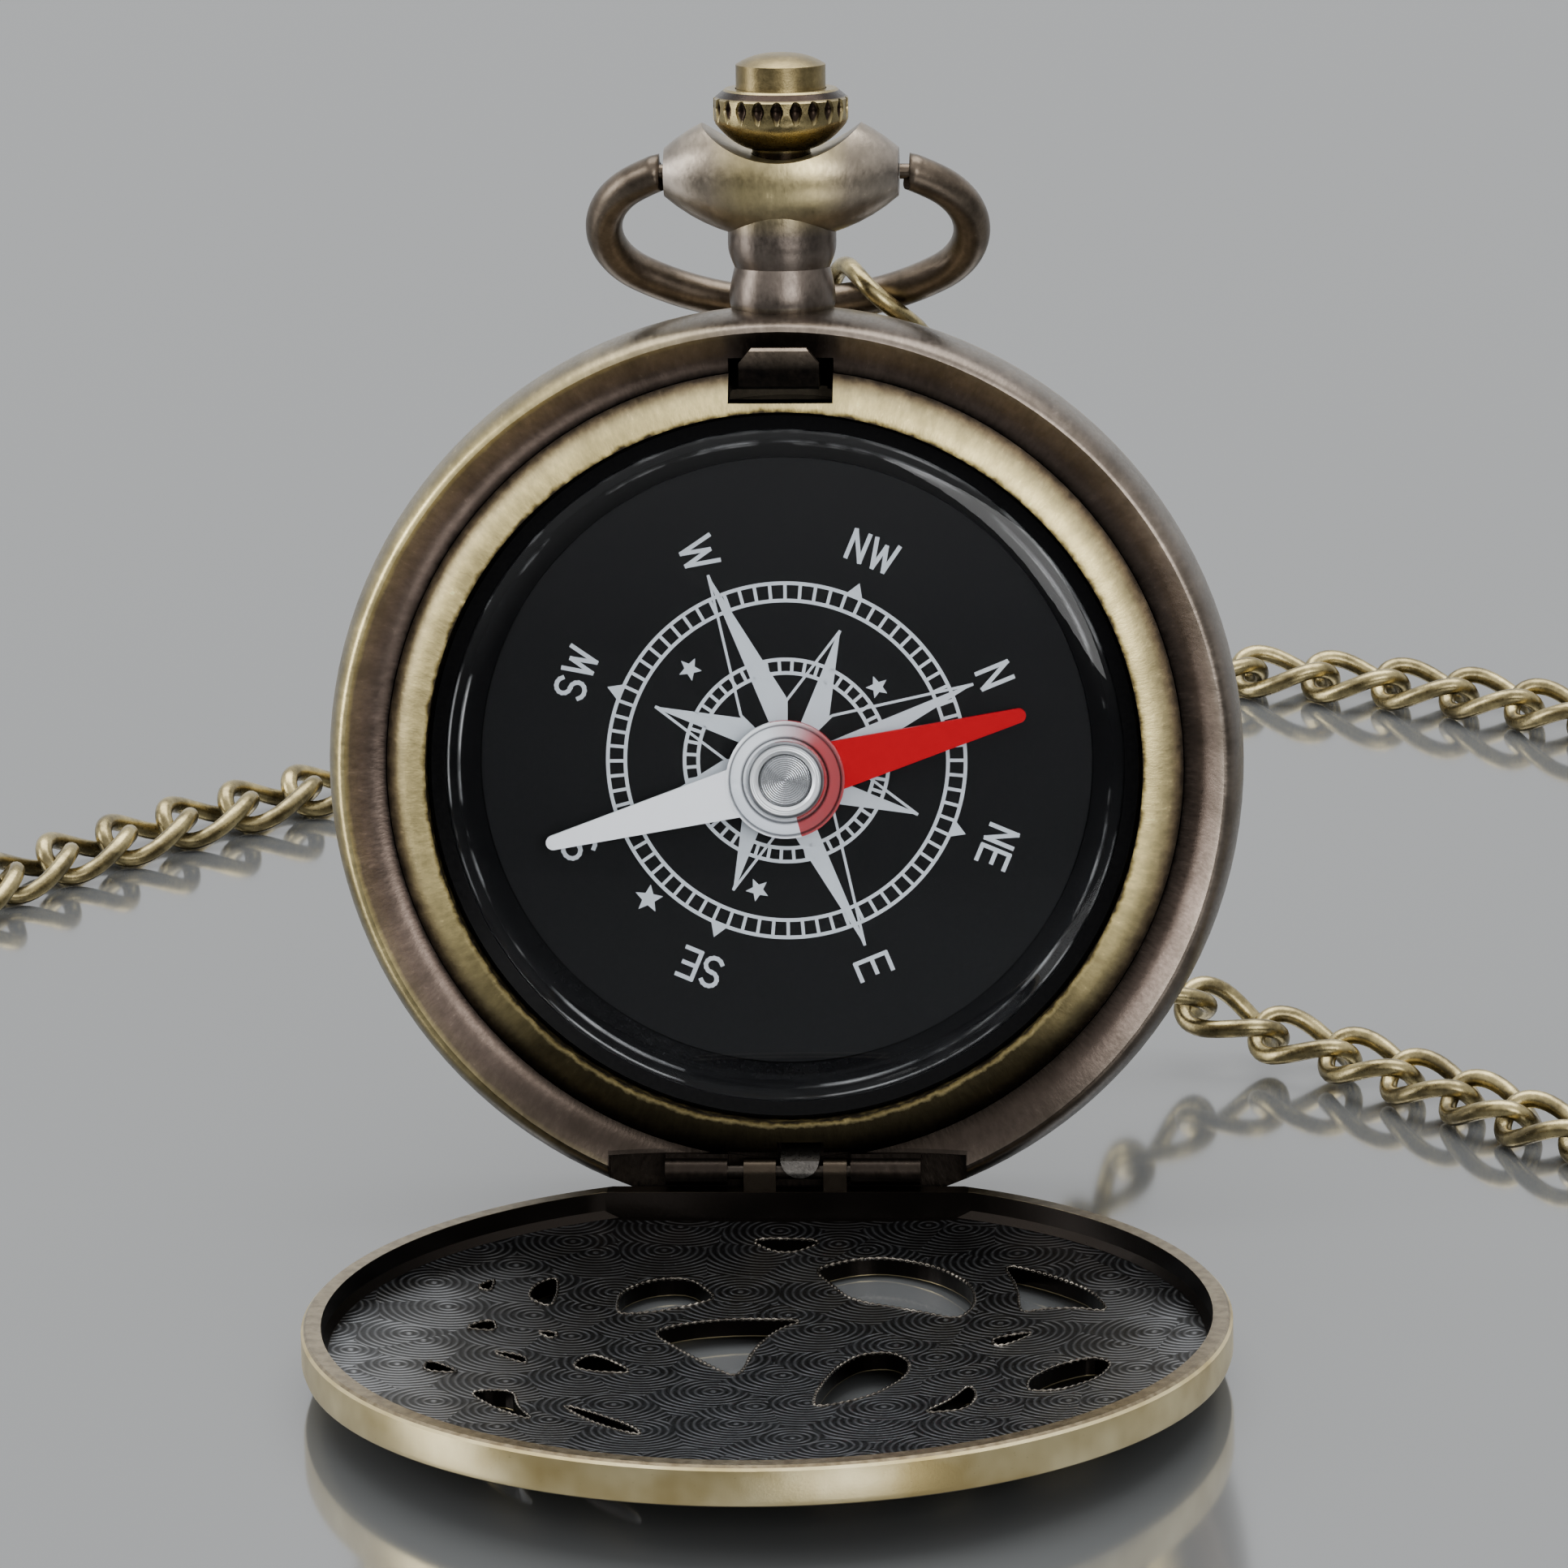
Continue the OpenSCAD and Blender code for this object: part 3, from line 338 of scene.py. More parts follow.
def bezel_metal():
    """Brass by distance from the dial's middle, in mm, with painted shade below and in the catch's cut."""
    tree, shader, mat = material("rubbed_brass_bezel", Metallic=1.0)
    v = coords(tree, CASE_TURN)
    r, x, y, z = radius(tree, v)
    worn = ragged(tree, r, v, 1.6, 0.5)
    tone = add(tree, "ValToRGB", [worn], span=BEZEL_SPAN, stops=[
        (0, "#4a4238"), (18.38, "#3b342c"), (18.5, "#a8965f"), (18.62, "#f4e0a0"), (19.35, "#f0dda0"),
        (19.8, "#dac998"), (20.15, "#aa9a7c"), (20.4, "#62594f"), (21, "#3f3934")])
    # Painted shade: darker towards the bottom of the ring, and near-black in the cut for the catch.
    drop = add(tree, "Math", [y, -1.0], operation="MULTIPLY")
    low_shade = add(tree, "ValToRGB", [drop], span=BEZEL_SPAN, stops=[
        (0, 0.0), (6.0, 0.0), (10.5, 0.5), (14.5, 0.93), (21, 0.96)])
    band = add(tree, "ValToRGB", [worn], span=BEZEL_SPAN, stops=[
        (0, 0.2), (18.52, 0.2), (18.7, 1.0), (21, 1.0)])
    low_shade = add(tree, "Math", [low_shade, band], operation="MULTIPLY")
    slot_shade = within(tree, (x, -SLOT_HALF, SLOT_HALF), (y, SLOT_FLOOR))
    tone = painted(tree, tone, (slot_shade, "#0e0c0b"), (low_shade, "#1a1511"))
    rubbed(tree, shader, tone, brushed(tree, v), (0.38, 0.5), 9.0, 0.00002, amount=0.4, wear=(0.45, 0.7))
    return mat


keep(bezel=bezel_metal())

# %% [markdown]
# The case is one casting with several faces. Its hollow rim is dull, and on the left the rim and
# its lip are a lit copy with a painted highlight. Its back is an even worn tone. The barrel under the
# crown has a painted highlight in the middle and painted shade below, and the notch of the catch,
# the lower part and the part between the lugs are darkened with painted shade. All of this goes into
# the colour.

# %% The case's antiqued brass
CASE_SPAN, HALF_CASE, DEPTH_SPAN = 24.5, 24.0, 12.0
CUT_HALF, CUT_LOW, CUT_TOP, CUT_DEPTH = 2.7, 18.0, 21.08, 6.0
LUG_HALF, LUG_TOP, NECK_LOW = 9.25, -19.9, 23.6


def case_metal():
    """Antiqued plating: the rim by radius, the back by depth, the neck and barrel by height, and painted
    light.
    """
    tree, shader, mat = material("antique_brass_case", Metallic=1.0)
    v = coords(tree, CASE_TURN)
    r, x, y, z = radius(tree, v)
    edge = ragged(tree, r, v, 1.1, 0.22)
    # Painted light: a shaded copy and a lit copy of the rim, the lit one with a painted highlight on the
    # lip. The left side takes the lit copy.
    dull = add(tree, "ValToRGB", [edge], span=CASE_SPAN, stops=[
        (0, "#171413"), (20.5, "#171413"), (20.7, "#463d37"), (21.2, "#6a5d55"), (21.8, "#756860"),
        (22.3, "#786c63"), (22.5, "#857a70"), (22.7, "#887d72"), (22.9, "#766c62"), (23.2, "#6b625a"),
        (24, "#857b69")])
    bright = add(tree, "ValToRGB", [edge], span=CASE_SPAN, stops=[
        (0, "#171413"), (20.5, "#171413"), (20.7, "#564a43"), (21.2, "#84746a"), (21.8, "#917f74"),
        (22.3, "#9c8b78"), (22.5, "#dccb96"), (22.7, "#ead79c"), (22.9, "#c0b07e"), (23.2, "#8f8466"),
        (24, "#8a806c")])
    left = add(tree, "Math", [HALF_CASE, x], operation="SUBTRACT")
    left = add(tree, "ValToRGB", [left], span=2 * HALF_CASE, stops=[
        (0, 0.0), (26, 0.0), (40, 1.0), (48, 1.0)])
    rim = add(tree, "MixRGB", [left, dull, bright])
    depth = add(tree, "Math", [z, -1.0], operation="MULTIPLY")
    back = add(tree, "ValToRGB", [depth], span=DEPTH_SPAN, stops=[
        (0, 0.0), (3.2, 0.0), (4.6, 1.0), (12, 1.0)])
    band = painted(tree, rim, (back, "#8d8270"))
    # Painted highlight: the barrel is lightest in the middle. Painted shade: its lower part fades into the
    # neck's darker tone.
    across = add(tree, "Math", [x], operation="ABSOLUTE")
    barrel = add(tree, "ValToRGB", [across], span=7.0, stops=[
        (0, "#dfce9a"), (1.8, "#d0bf8e"), (3.6, "#a09483"), (6.2, "#938b83")])
    upper = add(tree, "ValToRGB", [y], span=40.0, stops=[(0, 0.0), (27.2, 0.0), (29.4, 1.0), (40, 1.0)])
    neck = add(tree, "MixRGB", [upper, linear("#736961"), barrel])
    tone = add(tree, "MixRGB", [within(tree, (y, NECK_LOW)), band, neck])
    # Painted shade: near-black in the notch of the catch, darker towards the bottom and darkest between the
    # lugs.
    slot_shade = within(tree, (x, -CUT_HALF, CUT_HALF), (y, CUT_LOW, CUT_TOP), (z, -CUT_DEPTH))
    drop = add(tree, "Math", [y, -1.0], operation="MULTIPLY")
    low_shade = add(tree, "ValToRGB", [drop], span=24.0, stops=[
        (0, 0.0), (7.0, 0.0), (13.0, 0.45), (18.0, 0.88), (24, 0.95)])
    hinge_shade = within(tree, (x, -LUG_HALF, LUG_HALF), (y, None, LUG_TOP))
    hinge_shade = add(tree, "Math", [hinge_shade, 0.9], operation="MULTIPLY")
    tone = painted(tree, tone, (slot_shade, "#0e0c0b"), (low_shade, "#2f2924"), (hinge_shade, "#2a2521"))
    behind = add(tree, "ValToRGB", [depth], span=DEPTH_SPAN, stops=[
        (0, 0.0), (6.5, 0.0), (8.5, 1.0), (12, 1.0)])
    streaks = add(tree, "MixRGB", [behind, brushed(tree, v), v])
    rubbed(tree, shader, tone, streaks, (0.28, 0.42), 6.0, 0.000018, amount=0.45, wear=(0.42, 0.7))
    return mat


keep(case=case_metal())

# %% [markdown]
# The crown's flutes were milled before the dip, so they hold it and look almost black between bright
# lands. The hub under the crown, in the gap above the barrel, is painted near-black as painted shade.
# The catch is bent from thin blackened sheet, and the top of its hook has a painted highlight.

# %% Crown and catch
FLUTE_LOW, FLUTE_TOP = 33.0, 34.55


def crown_metal():
    """Rubbed brass whose flutes keep the dark dip: colour by distance from the crown's own axis, with
    painted shade on its lowest part.
    """
    tree, shader, mat = material("antique_brass_crown", Metallic=1.0)
    v = coords(tree, CASE_TURN)
    centred = add(tree, "Mapping", {"Vector": v, "Location": (0, 0, STEM_DEPTH)})
    r, x, y, z = radius(tree, centred, axis=1)
    hollow = add(tree, "ValToRGB", [r], span=4.0, stops=[(0, 1.0), (3.3, 1.0), (3.41, 0.0), (4, 0.0)])
    flutes = add(tree, "Math", [within(tree, (y, FLUTE_LOW, FLUTE_TOP)), hollow], operation="MULTIPLY")
    # Painted shade: near-black on the crown's lowest part, the hub that shows in the gap above the barrel.
    low_shade = add(tree, "ValToRGB", [y], span=40.0, stops=[(0, 1.0), (31.4, 1.0), (31.75, 0.35), (32.6, 0.0)])
    tone = painted(tree, linear("#a39469"), (low_shade, "#1c1713"), (flutes, "#2a211b"))
    rubbed(tree, shader, tone, v, (0.22, 0.36), 8.0)
    return mat


def catch_metal():
    """Dark sheet whose bent hook, the part in front of the lid plane, has a painted highlight along its top.
    """
    tree, shader, mat = material("dark_catch_sheet", Metallic=1.0)
    v = coords(tree, CASE_TURN)
    # Painted highlight: lighter towards the top of the hook.
    top = add(tree, "ValToRGB", [add(tree, "SeparateXYZ", [v], out="Y")], span=24.0, stops=[
        (0, 0.0), (20.7, 0.0), (21.3, 0.4), (21.7, 0.8), (21.79, 1.0)])
    rubbed(tree, shader, painted(tree, linear("#131110"), (top, "#85786a")), v, (0.3, 0.4), 4.0)
    return mat


keep(crown=crown_metal(), catch=catch_metal())

# %% [markdown]
# The inside of the lid is engine turned: a rose engine cuts overlapping circles of fine rings, and
# the light lies on them in fans. Part of the fans come from a tangent that follows the rings, so they
# move with the light as real ones do, and the crests also carry a painted highlight, which stays where
# it is. The real rings stand closer. They are drawn 0.4 mm apart, as coarse as the render needs to
# show them.

# %% The lid's engine turning
RING_STEP, CELLS_PER_MM, OFF_CENTRE = 0.4, 0.26, (0.4, -0.9, 0)


def engine_turning(tree, v):
    """Rings, their painted highlight and their tangent, for overlapping circles on the lid's inner face.

    Each place belongs to the nearest of many scattered centres, moved a little off the middle of their
    patches, and d is the way to it from there. The height is (1 + sin(2 pi |d| / step)) / 2, the
    tangent lies across d, and the crests get a painted highlight, strongest where d points along y.
    """
    flat = add(tree, "Mapping", {"Vector": v, "Scale": (1, 1, 0)})
    centre = add(tree, "TexVoronoi", {"Vector": flat, "Scale": CELLS_PER_MM, "Randomness": 0.95},
                 out="Position", voronoi_dimensions="2D")
    centre = add(tree, "VectorMath", [centre, OFF_CENTRE], operation="ADD")
    away = add(tree, "VectorMath", [flat, centre], operation="SUBTRACT")
    along = add(tree, "VectorMath", [away, (0, 0, 1)], operation="CROSS_PRODUCT")
    along = add(tree, "VectorRotate", {"Vector": along, "Angle": math.atan2(LID_TURN[2, 1], LID_TURN[1, 1])},
                rotation_type="X_AXIS")
    along = add(tree, "VectorTransform", [along], vector_type="VECTOR", convert_from="OBJECT",
                convert_to="WORLD")
    reach = add(tree, "VectorMath", [away], out="Value", operation="LENGTH")
    wave = add(tree, "Math", [reach, 2 * math.pi / RING_STEP], operation="MULTIPLY")
    wave = add(tree, "Math", [wave], operation="SINE")
    rings = add(tree, "Math", [wave, 0.5, 0.5], operation="MULTIPLY_ADD")
    lean = add(tree, "SeparateXYZ", [add(tree, "VectorMath", [away], operation="NORMALIZE")], out="Y")
    lean = add(tree, "Math", [lean], operation="ABSOLUTE")
    lit = add(tree, "ValToRGB", [lean], stops=[(0, 0.12), (0.5, 0.3), (0.8, 0.85), (1, 1.0)])
    crest = add(tree, "Math", [rings, 3.0], operation="POWER")
    return rings, add(tree, "Math", [crest, lit], operation="MULTIPLY"), along


# %% [markdown]
# The rest of the lid is told apart by place: the rim and its lip by height, the wall inside the rim
# by radius, the cut edges of the holes by their depth under the inner face, and the part between the
# lugs by the straight chord. The rim and its lip keep their own amount of the dark dip, the wall, the
# chord and the cut edges are darker, and the part between the lugs is darkened with painted shade.

# %% The lid's metal
FACE_R, WALL_R, CHORD_Y, CHORD_HALF = 21.95, 22.36, -20.0, 9.3
LIP_Z, FACE_LOW, OUTSIDE_Z, SKIN = 0.12, 0.9, 2.05, 0.05


def lid_metal():
    """The lid: a bright rubbed rim, dark cut edges, a brushed outside and an engine-turned inner face with
    painted highlights on its rings, and painted shade near the hinge.

    depth counts from the inner face: z + dome r r / R R less the face's own height in the middle.
    """
    tree, shader, mat = material("engine_turned_lid", Metallic=1.0)
    v = coords(tree, LID_TURN)
    r, x, y, z = radius(tree, v)
    square = add(tree, "Math", [r, r], operation="MULTIPLY")
    depth = add(tree, "Math", [square, LID_DOME / LID_R ** 2, z], operation="MULTIPLY_ADD")
    depth = add(tree, "Math", [depth, RIM_H - PLATE_T + LID_DOME], operation="SUBTRACT")
    plate = (r, None, FACE_R), (z, FACE_LOW), (y, CHORD_Y + 0.15)
    face = within(tree, *plate, (depth, None, SKIN))
    cut = within(tree, *plate, (depth, SKIN, PLATE_T - SKIN))
    outside = within(tree, (z, OUTSIDE_Z))
    outside = add(tree, "Math", [outside, cut], operation="SUBTRACT", use_clamp=True)
    rings, painted_glint, along = engine_turning(tree, v)
    cloudy = patches(tree, v, 0.8, [(0, 0.0), (0.4, 0.1), (0.65, 1.0), (1, 1.0)])
    # Painted highlight: a pale grey on the crests of the rings, most where they run across y.
    inner = painted(tree, linear("#131416"), (cloudy, "#202225"), (painted_glint, "#b6b9be"))
    dim = patches(tree, v, 0.16, [(0, 0.0), (0.36, 0.0), (0.62, 1.0), (1, 1.0)], 3)
    rim = painted(tree, linear("#f0e2b4"), (dim, "#b9a571"))
    dim = patches(tree, v, 1.6, [(0, 0.0), (0.4, 0.1), (0.65, 0.8), (1, 1.0)])
    lip = painted(tree, linear("#978a70"), (dim, "#6a5d48"))
    rim = add(tree, "MixRGB", [within(tree, (z, LIP_Z)), lip, rim])
    wall = within(tree, (r, None, WALL_R), (z, 0.02))
    chord = within(tree, (y, None, CHORD_Y), (z, 0.1))
    wall = add(tree, "Math", [wall, chord], operation="MAXIMUM")
    # Painted shade: the lid's rim between the lugs, near the hinge, is darkened.
    hinge_shade = within(tree, (y, None, CHORD_Y), (x, -CHORD_HALF, CHORD_HALF))
    hinge_shade = add(tree, "Math", [hinge_shade, 0.93], operation="MULTIPLY")
    outer = painted(tree, rim, (hinge_shade, "#302a25"), (wall, "#24201d"), (outside, "#8f8365"), (cut, "#1b1816"))
    fine = add(tree, "Mapping", {"Vector": v, "Scale": (1, 1, 6)})
    fine = add(tree, "TexNoise", {"Vector": fine, "Scale": 5.0, "Detail": 3, "Roughness": 0.55})
    grit = add(tree, "TexNoise", {"Vector": v, "Scale": 7.0, "Detail": 3, "Roughness": 0.55})
    height = add(tree, "MixRGB", [face, grit, rings])
    connect(tree, shader, {
        "Base Color": add(tree, "MixRGB", [face, outer, inner]),
        "Roughness": add(tree, "Math", [fine, 0.2, 0.22], operation="MULTIPLY_ADD"),
        "Normal": add(tree, "Bump", {"Height": height, "Strength": 0.5, "Distance": 0.00001}),
        "Tangent": along,
        "Anisotropic": add(tree, "Math", [face, 0.5], operation="MULTIPLY")})
    return mat


keep(lid=lid_metal())

# %% [markdown]
# The card is satin black with a light grey screen print, and the cup round it is glossy moulded
# plastic. The needle is thin sheet, sprayed red and white with a hard line between the colours.

# %% Plastic, print and enamel


def satin(name, colour, rough, speck=0.06, grain=5.0, gloss=0.5):
    """A smooth painted or moulded surface with a faint unevenness of tone and gloss."""
    tree, shader, mat = material(name, Metallic=0.0, IOR=1.5, Specular_IOR_Level=gloss)
    cloud = add(tree, "TexNoise", {"Vector": coords(tree), "Scale": grain, "Detail": 3, "Roughness": 0.55})
    share = add(tree, "Math", [cloud, speck * 2], operation="MULTIPLY")
    connect(tree, shader, {
        "Base Color": painted(tree, linear(colour), (share, "#8a8a8a")),
        "Roughness": add(tree, "Math", [cloud, 0.12, rough - 0.06], operation="MULTIPLY_ADD"),
        "Normal": add(tree, "Bump", {"Height": cloud, "Strength": 0.15, "Distance": 0.000001})})
    return mat


def needle_enamel():
    """Red where x cos a + (y + drop) sin a is above 0, towards the north end, and white elsewhere."""
    tree, shader, mat = material("red_and_white_enamel", Metallic=0.0, IOR=1.5, Roughness=0.3,
                                 Specular_IOR_Level=0.08)
    v = coords(tree, CASE_TURN)
    x, y = add(tree, "SeparateXYZ", [v], out=slice(2))
    a = math.radians(NEEDLE_TURN)
    rise = add(tree, "Math", [y, PIVOT_DROP], operation="ADD")
    rise = add(tree, "Math", [rise, math.sin(a)], operation="MULTIPLY")
    along = add(tree, "Math", [x, math.cos(a), rise], operation="MULTIPLY_ADD")
    peel = add(tree, "TexNoise", {"Vector": v, "Scale": 2.0, "Detail": 2, "Roughness": 0.55})
    connect(tree, shader, {
        "Base Color": painted(tree, linear("#f2f2f4"), (within(tree, (along, 0.0)), "#b00014")),
        "Normal": add(tree, "Bump", {"Height": peel, "Strength": 0.1, "Distance": 0.000005})})
    return mat


keep(cup=satin("gloss_black_cup", "#070708", 0.16, 0.006, gloss=0.1),
     card=satin("satin_black_card", "#070708", 0.5, 0.008, gloss=0.12),
     print=satin("grey_screen_print", "#c6cbd0", 0.5, 0.03, 9.0),
     needle=needle_enamel())

# %% [markdown]
# The cap in the needle's middle is turned and plated, and a clear ring sits round it. The cap's white
# band is a painted highlight, and the ring's dark rings and its white towards the upper left are painted
# reflections. The crystal is mineral glass with a bevelled rim. Real glass would keep the lights from
# the dial in a short render, so shadow rays go straight through, and the rim's bright threads are
# painted highlights in the glass itself.

# %% Plated cap, clear ring and crystal
GROOVE_STEP = 0.11


def turned_chrome():
    """Chrome cap turned on a lathe: grooves sin(2 pi r / step) round the pivot draw the light out."""
    tree, shader, mat = material("turned_chrome_cap", Metallic=1.0)
    v = coords(tree, CASE_TURN)
    r = radius(tree, add(tree, "Mapping", {"Vector": v, "Location": (0, PIVOT_DROP, 0)}))[0]
    wave = add(tree, "Math", [r, 2 * math.pi / GROOVE_STEP], operation="MULTIPLY")
    wave = add(tree, "Math", [wave], operation="SINE")
    cloud = add(tree, "TexNoise", {"Vector": v, "Scale": 4.0, "Detail": 2, "Roughness": 0.55})
    rough = add(tree, "Math", [cloud, 0.12, 0.16], operation="MULTIPLY_ADD")
    connect(tree, shader, {
        # Painted highlight: a white band from 1.42 to 1.75 mm, set off by two dark lines.
        "Base Color": add(tree, "ValToRGB", [r], span=2.5, stops=[
            (0, "#d2d3d5"), (1.2, "#e6e7e9"), (1.36, "#3b3c3e"), (1.42, "#ffffff"), (1.75, "#ffffff"),
            (1.85, "#4c4d4f"), (2.1, "#e9eaec")]),
        "Roughness": add(tree, "Math", [within(tree, (r, 1.38)), 0.16, rough], operation="MULTIPLY_ADD"),
        "Normal": add(tree, "Bump", {"Height": wave, "Strength": 0.5, "Distance": 0.000006})})
    return mat


def clear(name, tint, index=1.3):
    """Clear polished plate. Shadow rays pass straight through it, so what lies behind is lit."""
    tree, shader, mat = material(name, Roughness=0.0, IOR=index, Base_Color=linear(tint),
                                 Transmission_Weight=1.0)
    shadow = add(tree, "LightPath", out="Is Shadow Ray")
    through = add(tree, "BsdfTransparent", {"Color": linear(tint)})
    both = add(tree, "MixShader", [shadow, shader.outputs[0], through])
    connect(tree, tree.nodes["Material Output"], {"Surface": both})
    return tree, shader, mat


def turned_acrylic():
    """Clear ring with two painted dark rings by radius, as painted reflections. Towards the upper left,
    where ((y - x) / r)^2 is large, it is less clear and its white shows as a painted reflection, and it
    is clear elsewhere, so the needle's colours show."""
    tree, shader, mat = clear("clear_acrylic_collar", "#ffffff", 1.49)
    v = coords(tree, CASE_TURN)
    r, x, y, z = radius(tree, add(tree, "Mapping", {"Vector": v, "Location": (0, PIVOT_DROP, 0)}))
    # Painted reflection: less clear towards the upper left, so the white base colour shows there.
    arc = add(tree, "Math", [y, x], operation="SUBTRACT")
    arc = add(tree, "Math", [arc, 0.0], operation="MAXIMUM")
    arc = add(tree, "Math", [arc, r], operation="DIVIDE")
    arc = add(tree, "Math", [arc, arc], operation="MULTIPLY")
    connect(tree, shader, {
        "Base Color": add(tree, "ValToRGB", [r], span=3.4, stops=[
            (0, "#ffffff"), (2.12, "#f6f7f9"), (2.2, "#222326"), (2.34, "#f6f7f9"), (2.78, "#eceef0"),
            (2.86, "#4b4d51"), (2.95, "#ffffff"), (3.2, "#ffffff")]),
        "Transmission Weight": add(tree, "Math", [arc, -0.4, 0.97], operation="MULTIPLY_ADD")})
    return mat


def bevelled_crystal():
    """Clear mineral glass. The two edges of its polished bevel, at 16.7 and 17.3 mm, carry painted
    highlights
    in broken threads: a narrow peak by radius times a noise that runs round the rim."""
    tree, shader, mat = clear("clear_mineral_crystal", "#fbfdff")
    v = coords(tree, CASE_TURN)
    # Painted highlight: two thin rings at the edges of the bevel, less clear and so white.
    thread = add(tree, "ValToRGB", [radius(tree, v)[0]], span=18.5, stops=[
        (0, 0.0), (16.62, 0.0), (16.7, 1.0), (16.78, 0.0), (17.2, 0.0), (17.28, 0.9), (17.34, 0.0),
        (18, 0.0)])
    broken = patches(tree, v, 0.13, [(0, 0.0), (0.46, 0.0), (0.64, 0.42), (1, 0.7)], 4, 0.6)
    share = add(tree, "Math", [thread, broken], operation="MULTIPLY")
    clarity = add(tree, "Math", [1.0, share], operation="SUBTRACT")
    connect(tree, shader, {"Transmission Weight": clarity})
    return mat


keep(chrome=turned_chrome(), crystal=bevelled_crystal(), collar=turned_acrylic())

# %% [markdown]
# The rigid pieces have the right shape already in the CAD model, so they keep their points. Their
# loose triangles are joined and smoothed up to the sharp edges by modifiers, which is quicker than
# drawing them again and can't move them. Only the bow and the chain are drawn anew.

# %% Finishes on the CAD pieces


def dress(name, key, angle=30.0):
    """A CAD node with its finish, joined along its seams and smooth up to edges above the angle."""
    obj = nodes[name]
    obj.data.materials.clear()
    obj.data.materials.append(MATERIALS[key])
    if "custom_normal" in obj.data.attributes:
        obj.data.attributes.remove(obj.data.attributes["custom_normal"])
    obj.data.polygons.foreach_set("use_smooth", np.ones(len(obj.data.polygons), bool))
    weld = obj.modifiers.new("join", "WELD")
    weld.merge_threshold = 2e-6
    split = obj.modifiers.new("edges", "EDGE_SPLIT")
    split.split_angle = math.radians(angle)
    print(name, len(obj.data.vertices), "points as", MATERIALS[key].name)


DRESSING = {"case_body": "case", "bezel": "bezel", "capsule": "cup", "dial": "card", "pivot": "steel",
            "needle": "needle", "needle_hub": "chrome", "needle_collar": "collar", "crystal": "crystal",
            "crown": "crown", "crown_button": "button", "catch": "catch", "hinge_pin": "pin",
            "lift_spring": "steel", "lid": "lid", "clasp": "clasp"}
for name, key in DRESSING.items():
    dress(name, key)

# %% [markdown]
# The bow is a bent wire: an oval of four arcs, open where its two pivots go into the barrel. Its
# gloss shows every flat, so it is drawn again with the CAD's own sizes and more points along and
# round the wire. A circle carried along the line of the four arcs is all that it takes.

# %% The bow
BOW_A, BOW_B, BOW_WIRE, BOW_SHIFT, BARREL_Y = 9.45, 5.9, 0.95, 0.15, 30.35
BOW_START, BOW_PIN_X, BOW_PIN_R = 6.42, (5.9, 6.5), 0.4
END_R = 0.71 * BOW_B
BOW_SIDE = BOW_A - END_R
LONG_R = (BOW_SIDE ** 2 + BOW_B ** 2 - END_R ** 2) / (2 * (BOW_B - END_R))
JOIN = math.atan2(LONG_R - BOW_B, BOW_SIDE)
OPENING = math.asin(BOW_START / LONG_R)
DROP = LONG_R * math.cos(OPENING) - (LONG_R - BOW_B)
BOW_FOLD = math.radians(40.9955)


def arc(c, r, start, end, n):
    """c + r (cos a, sin a) for n + 1 angles from start to end."""
    a = np.linspace(start, end, n + 1)
    return np.stack([c[0] + r * np.cos(a), c[1] + r * np.sin(a)], -1)


def from_bow(p):
    """Dial frame of a bow point: turned by half a turn and the fold about the pivot axis."""
    return np.asarray(p) @ turn_x(math.pi + BOW_FOLD).T + [BOW_SHIFT, BARREL_Y, -STEM_DEPTH]


half = np.concatenate([
    arc((0, DROP + LONG_R - BOW_B), LONG_R, OPENING - math.pi / 2, -JOIN, 14),
    arc((BOW_SIDE, DROP), END_R, -JOIN, JOIN, 36)[1:],
    arc((0, DROP - LONG_R + BOW_B), LONG_R, JOIN, math.pi / 2, 30)[1:]])
line = np.concatenate([half, half[-2::-1] * [-1, 1]])
tangent = unit(np.gradient(line, axis=0))
tangent[0], tangent[-1] = (1, 0), (1, 0)
path = np.concatenate([line, np.zeros((len(line), 1))], 1)
side = np.stack([-tangent[:, 1], tangent[:, 0], np.zeros(len(line))], -1)
side[0], side[-1] = (0, 1, 0), (0, -1, 0)
# The side direction keeps its sense where the line turns back, so that the tube isn't twisted.
turn_sign = np.where((side * np.roll(side, 1, 0)).sum(-1) < 0, -1, 1)
turn_sign[0] = 1
side = side * np.cumprod(turn_sign)[:, None]
path, side = (np.concatenate([a[:1], a, a[-1:]]) for a in (path, side))
thick = np.full(len(path), BOW_WIRE)
thick[0] = thick[-1] = 0
verts, faces = sweep(path, side, np.tile([0.0, 0.0, 1.0], (len(path), 1)), thick, 28)
pins, pin_faces = [], []
for s in (-1, 1):
    x = s * np.array(BOW_PIN_X)
    p, f = sweep(np.stack([x, x * 0, x * 0], -1), np.tile([0.0, 1.0, 0.0], (2, 1)),
                 np.tile([0.0, 0.0, 1.0], (2, 1)), BOW_PIN_R, 20)
    pin_faces.append(f + len(verts) + sum(len(q) for q in pins))
    pins.append(p)
verts = np.concatenate([verts] + pins)
faces = np.concatenate([faces] + pin_faces)
piece("bow_wire", from_dial(from_bow(verts)), faces, "case", MATERIALS["bow"], ["bow"])

# %% [markdown]
# The chain is a curb chain of soldered oval links, each twisted by a quarter turn so that it lies
# flat and holds the next. One link is worked out as a grid, and copies of it are turned to follow
# the route, which is the one of the CAD model, in millimetres. The first link is larger.

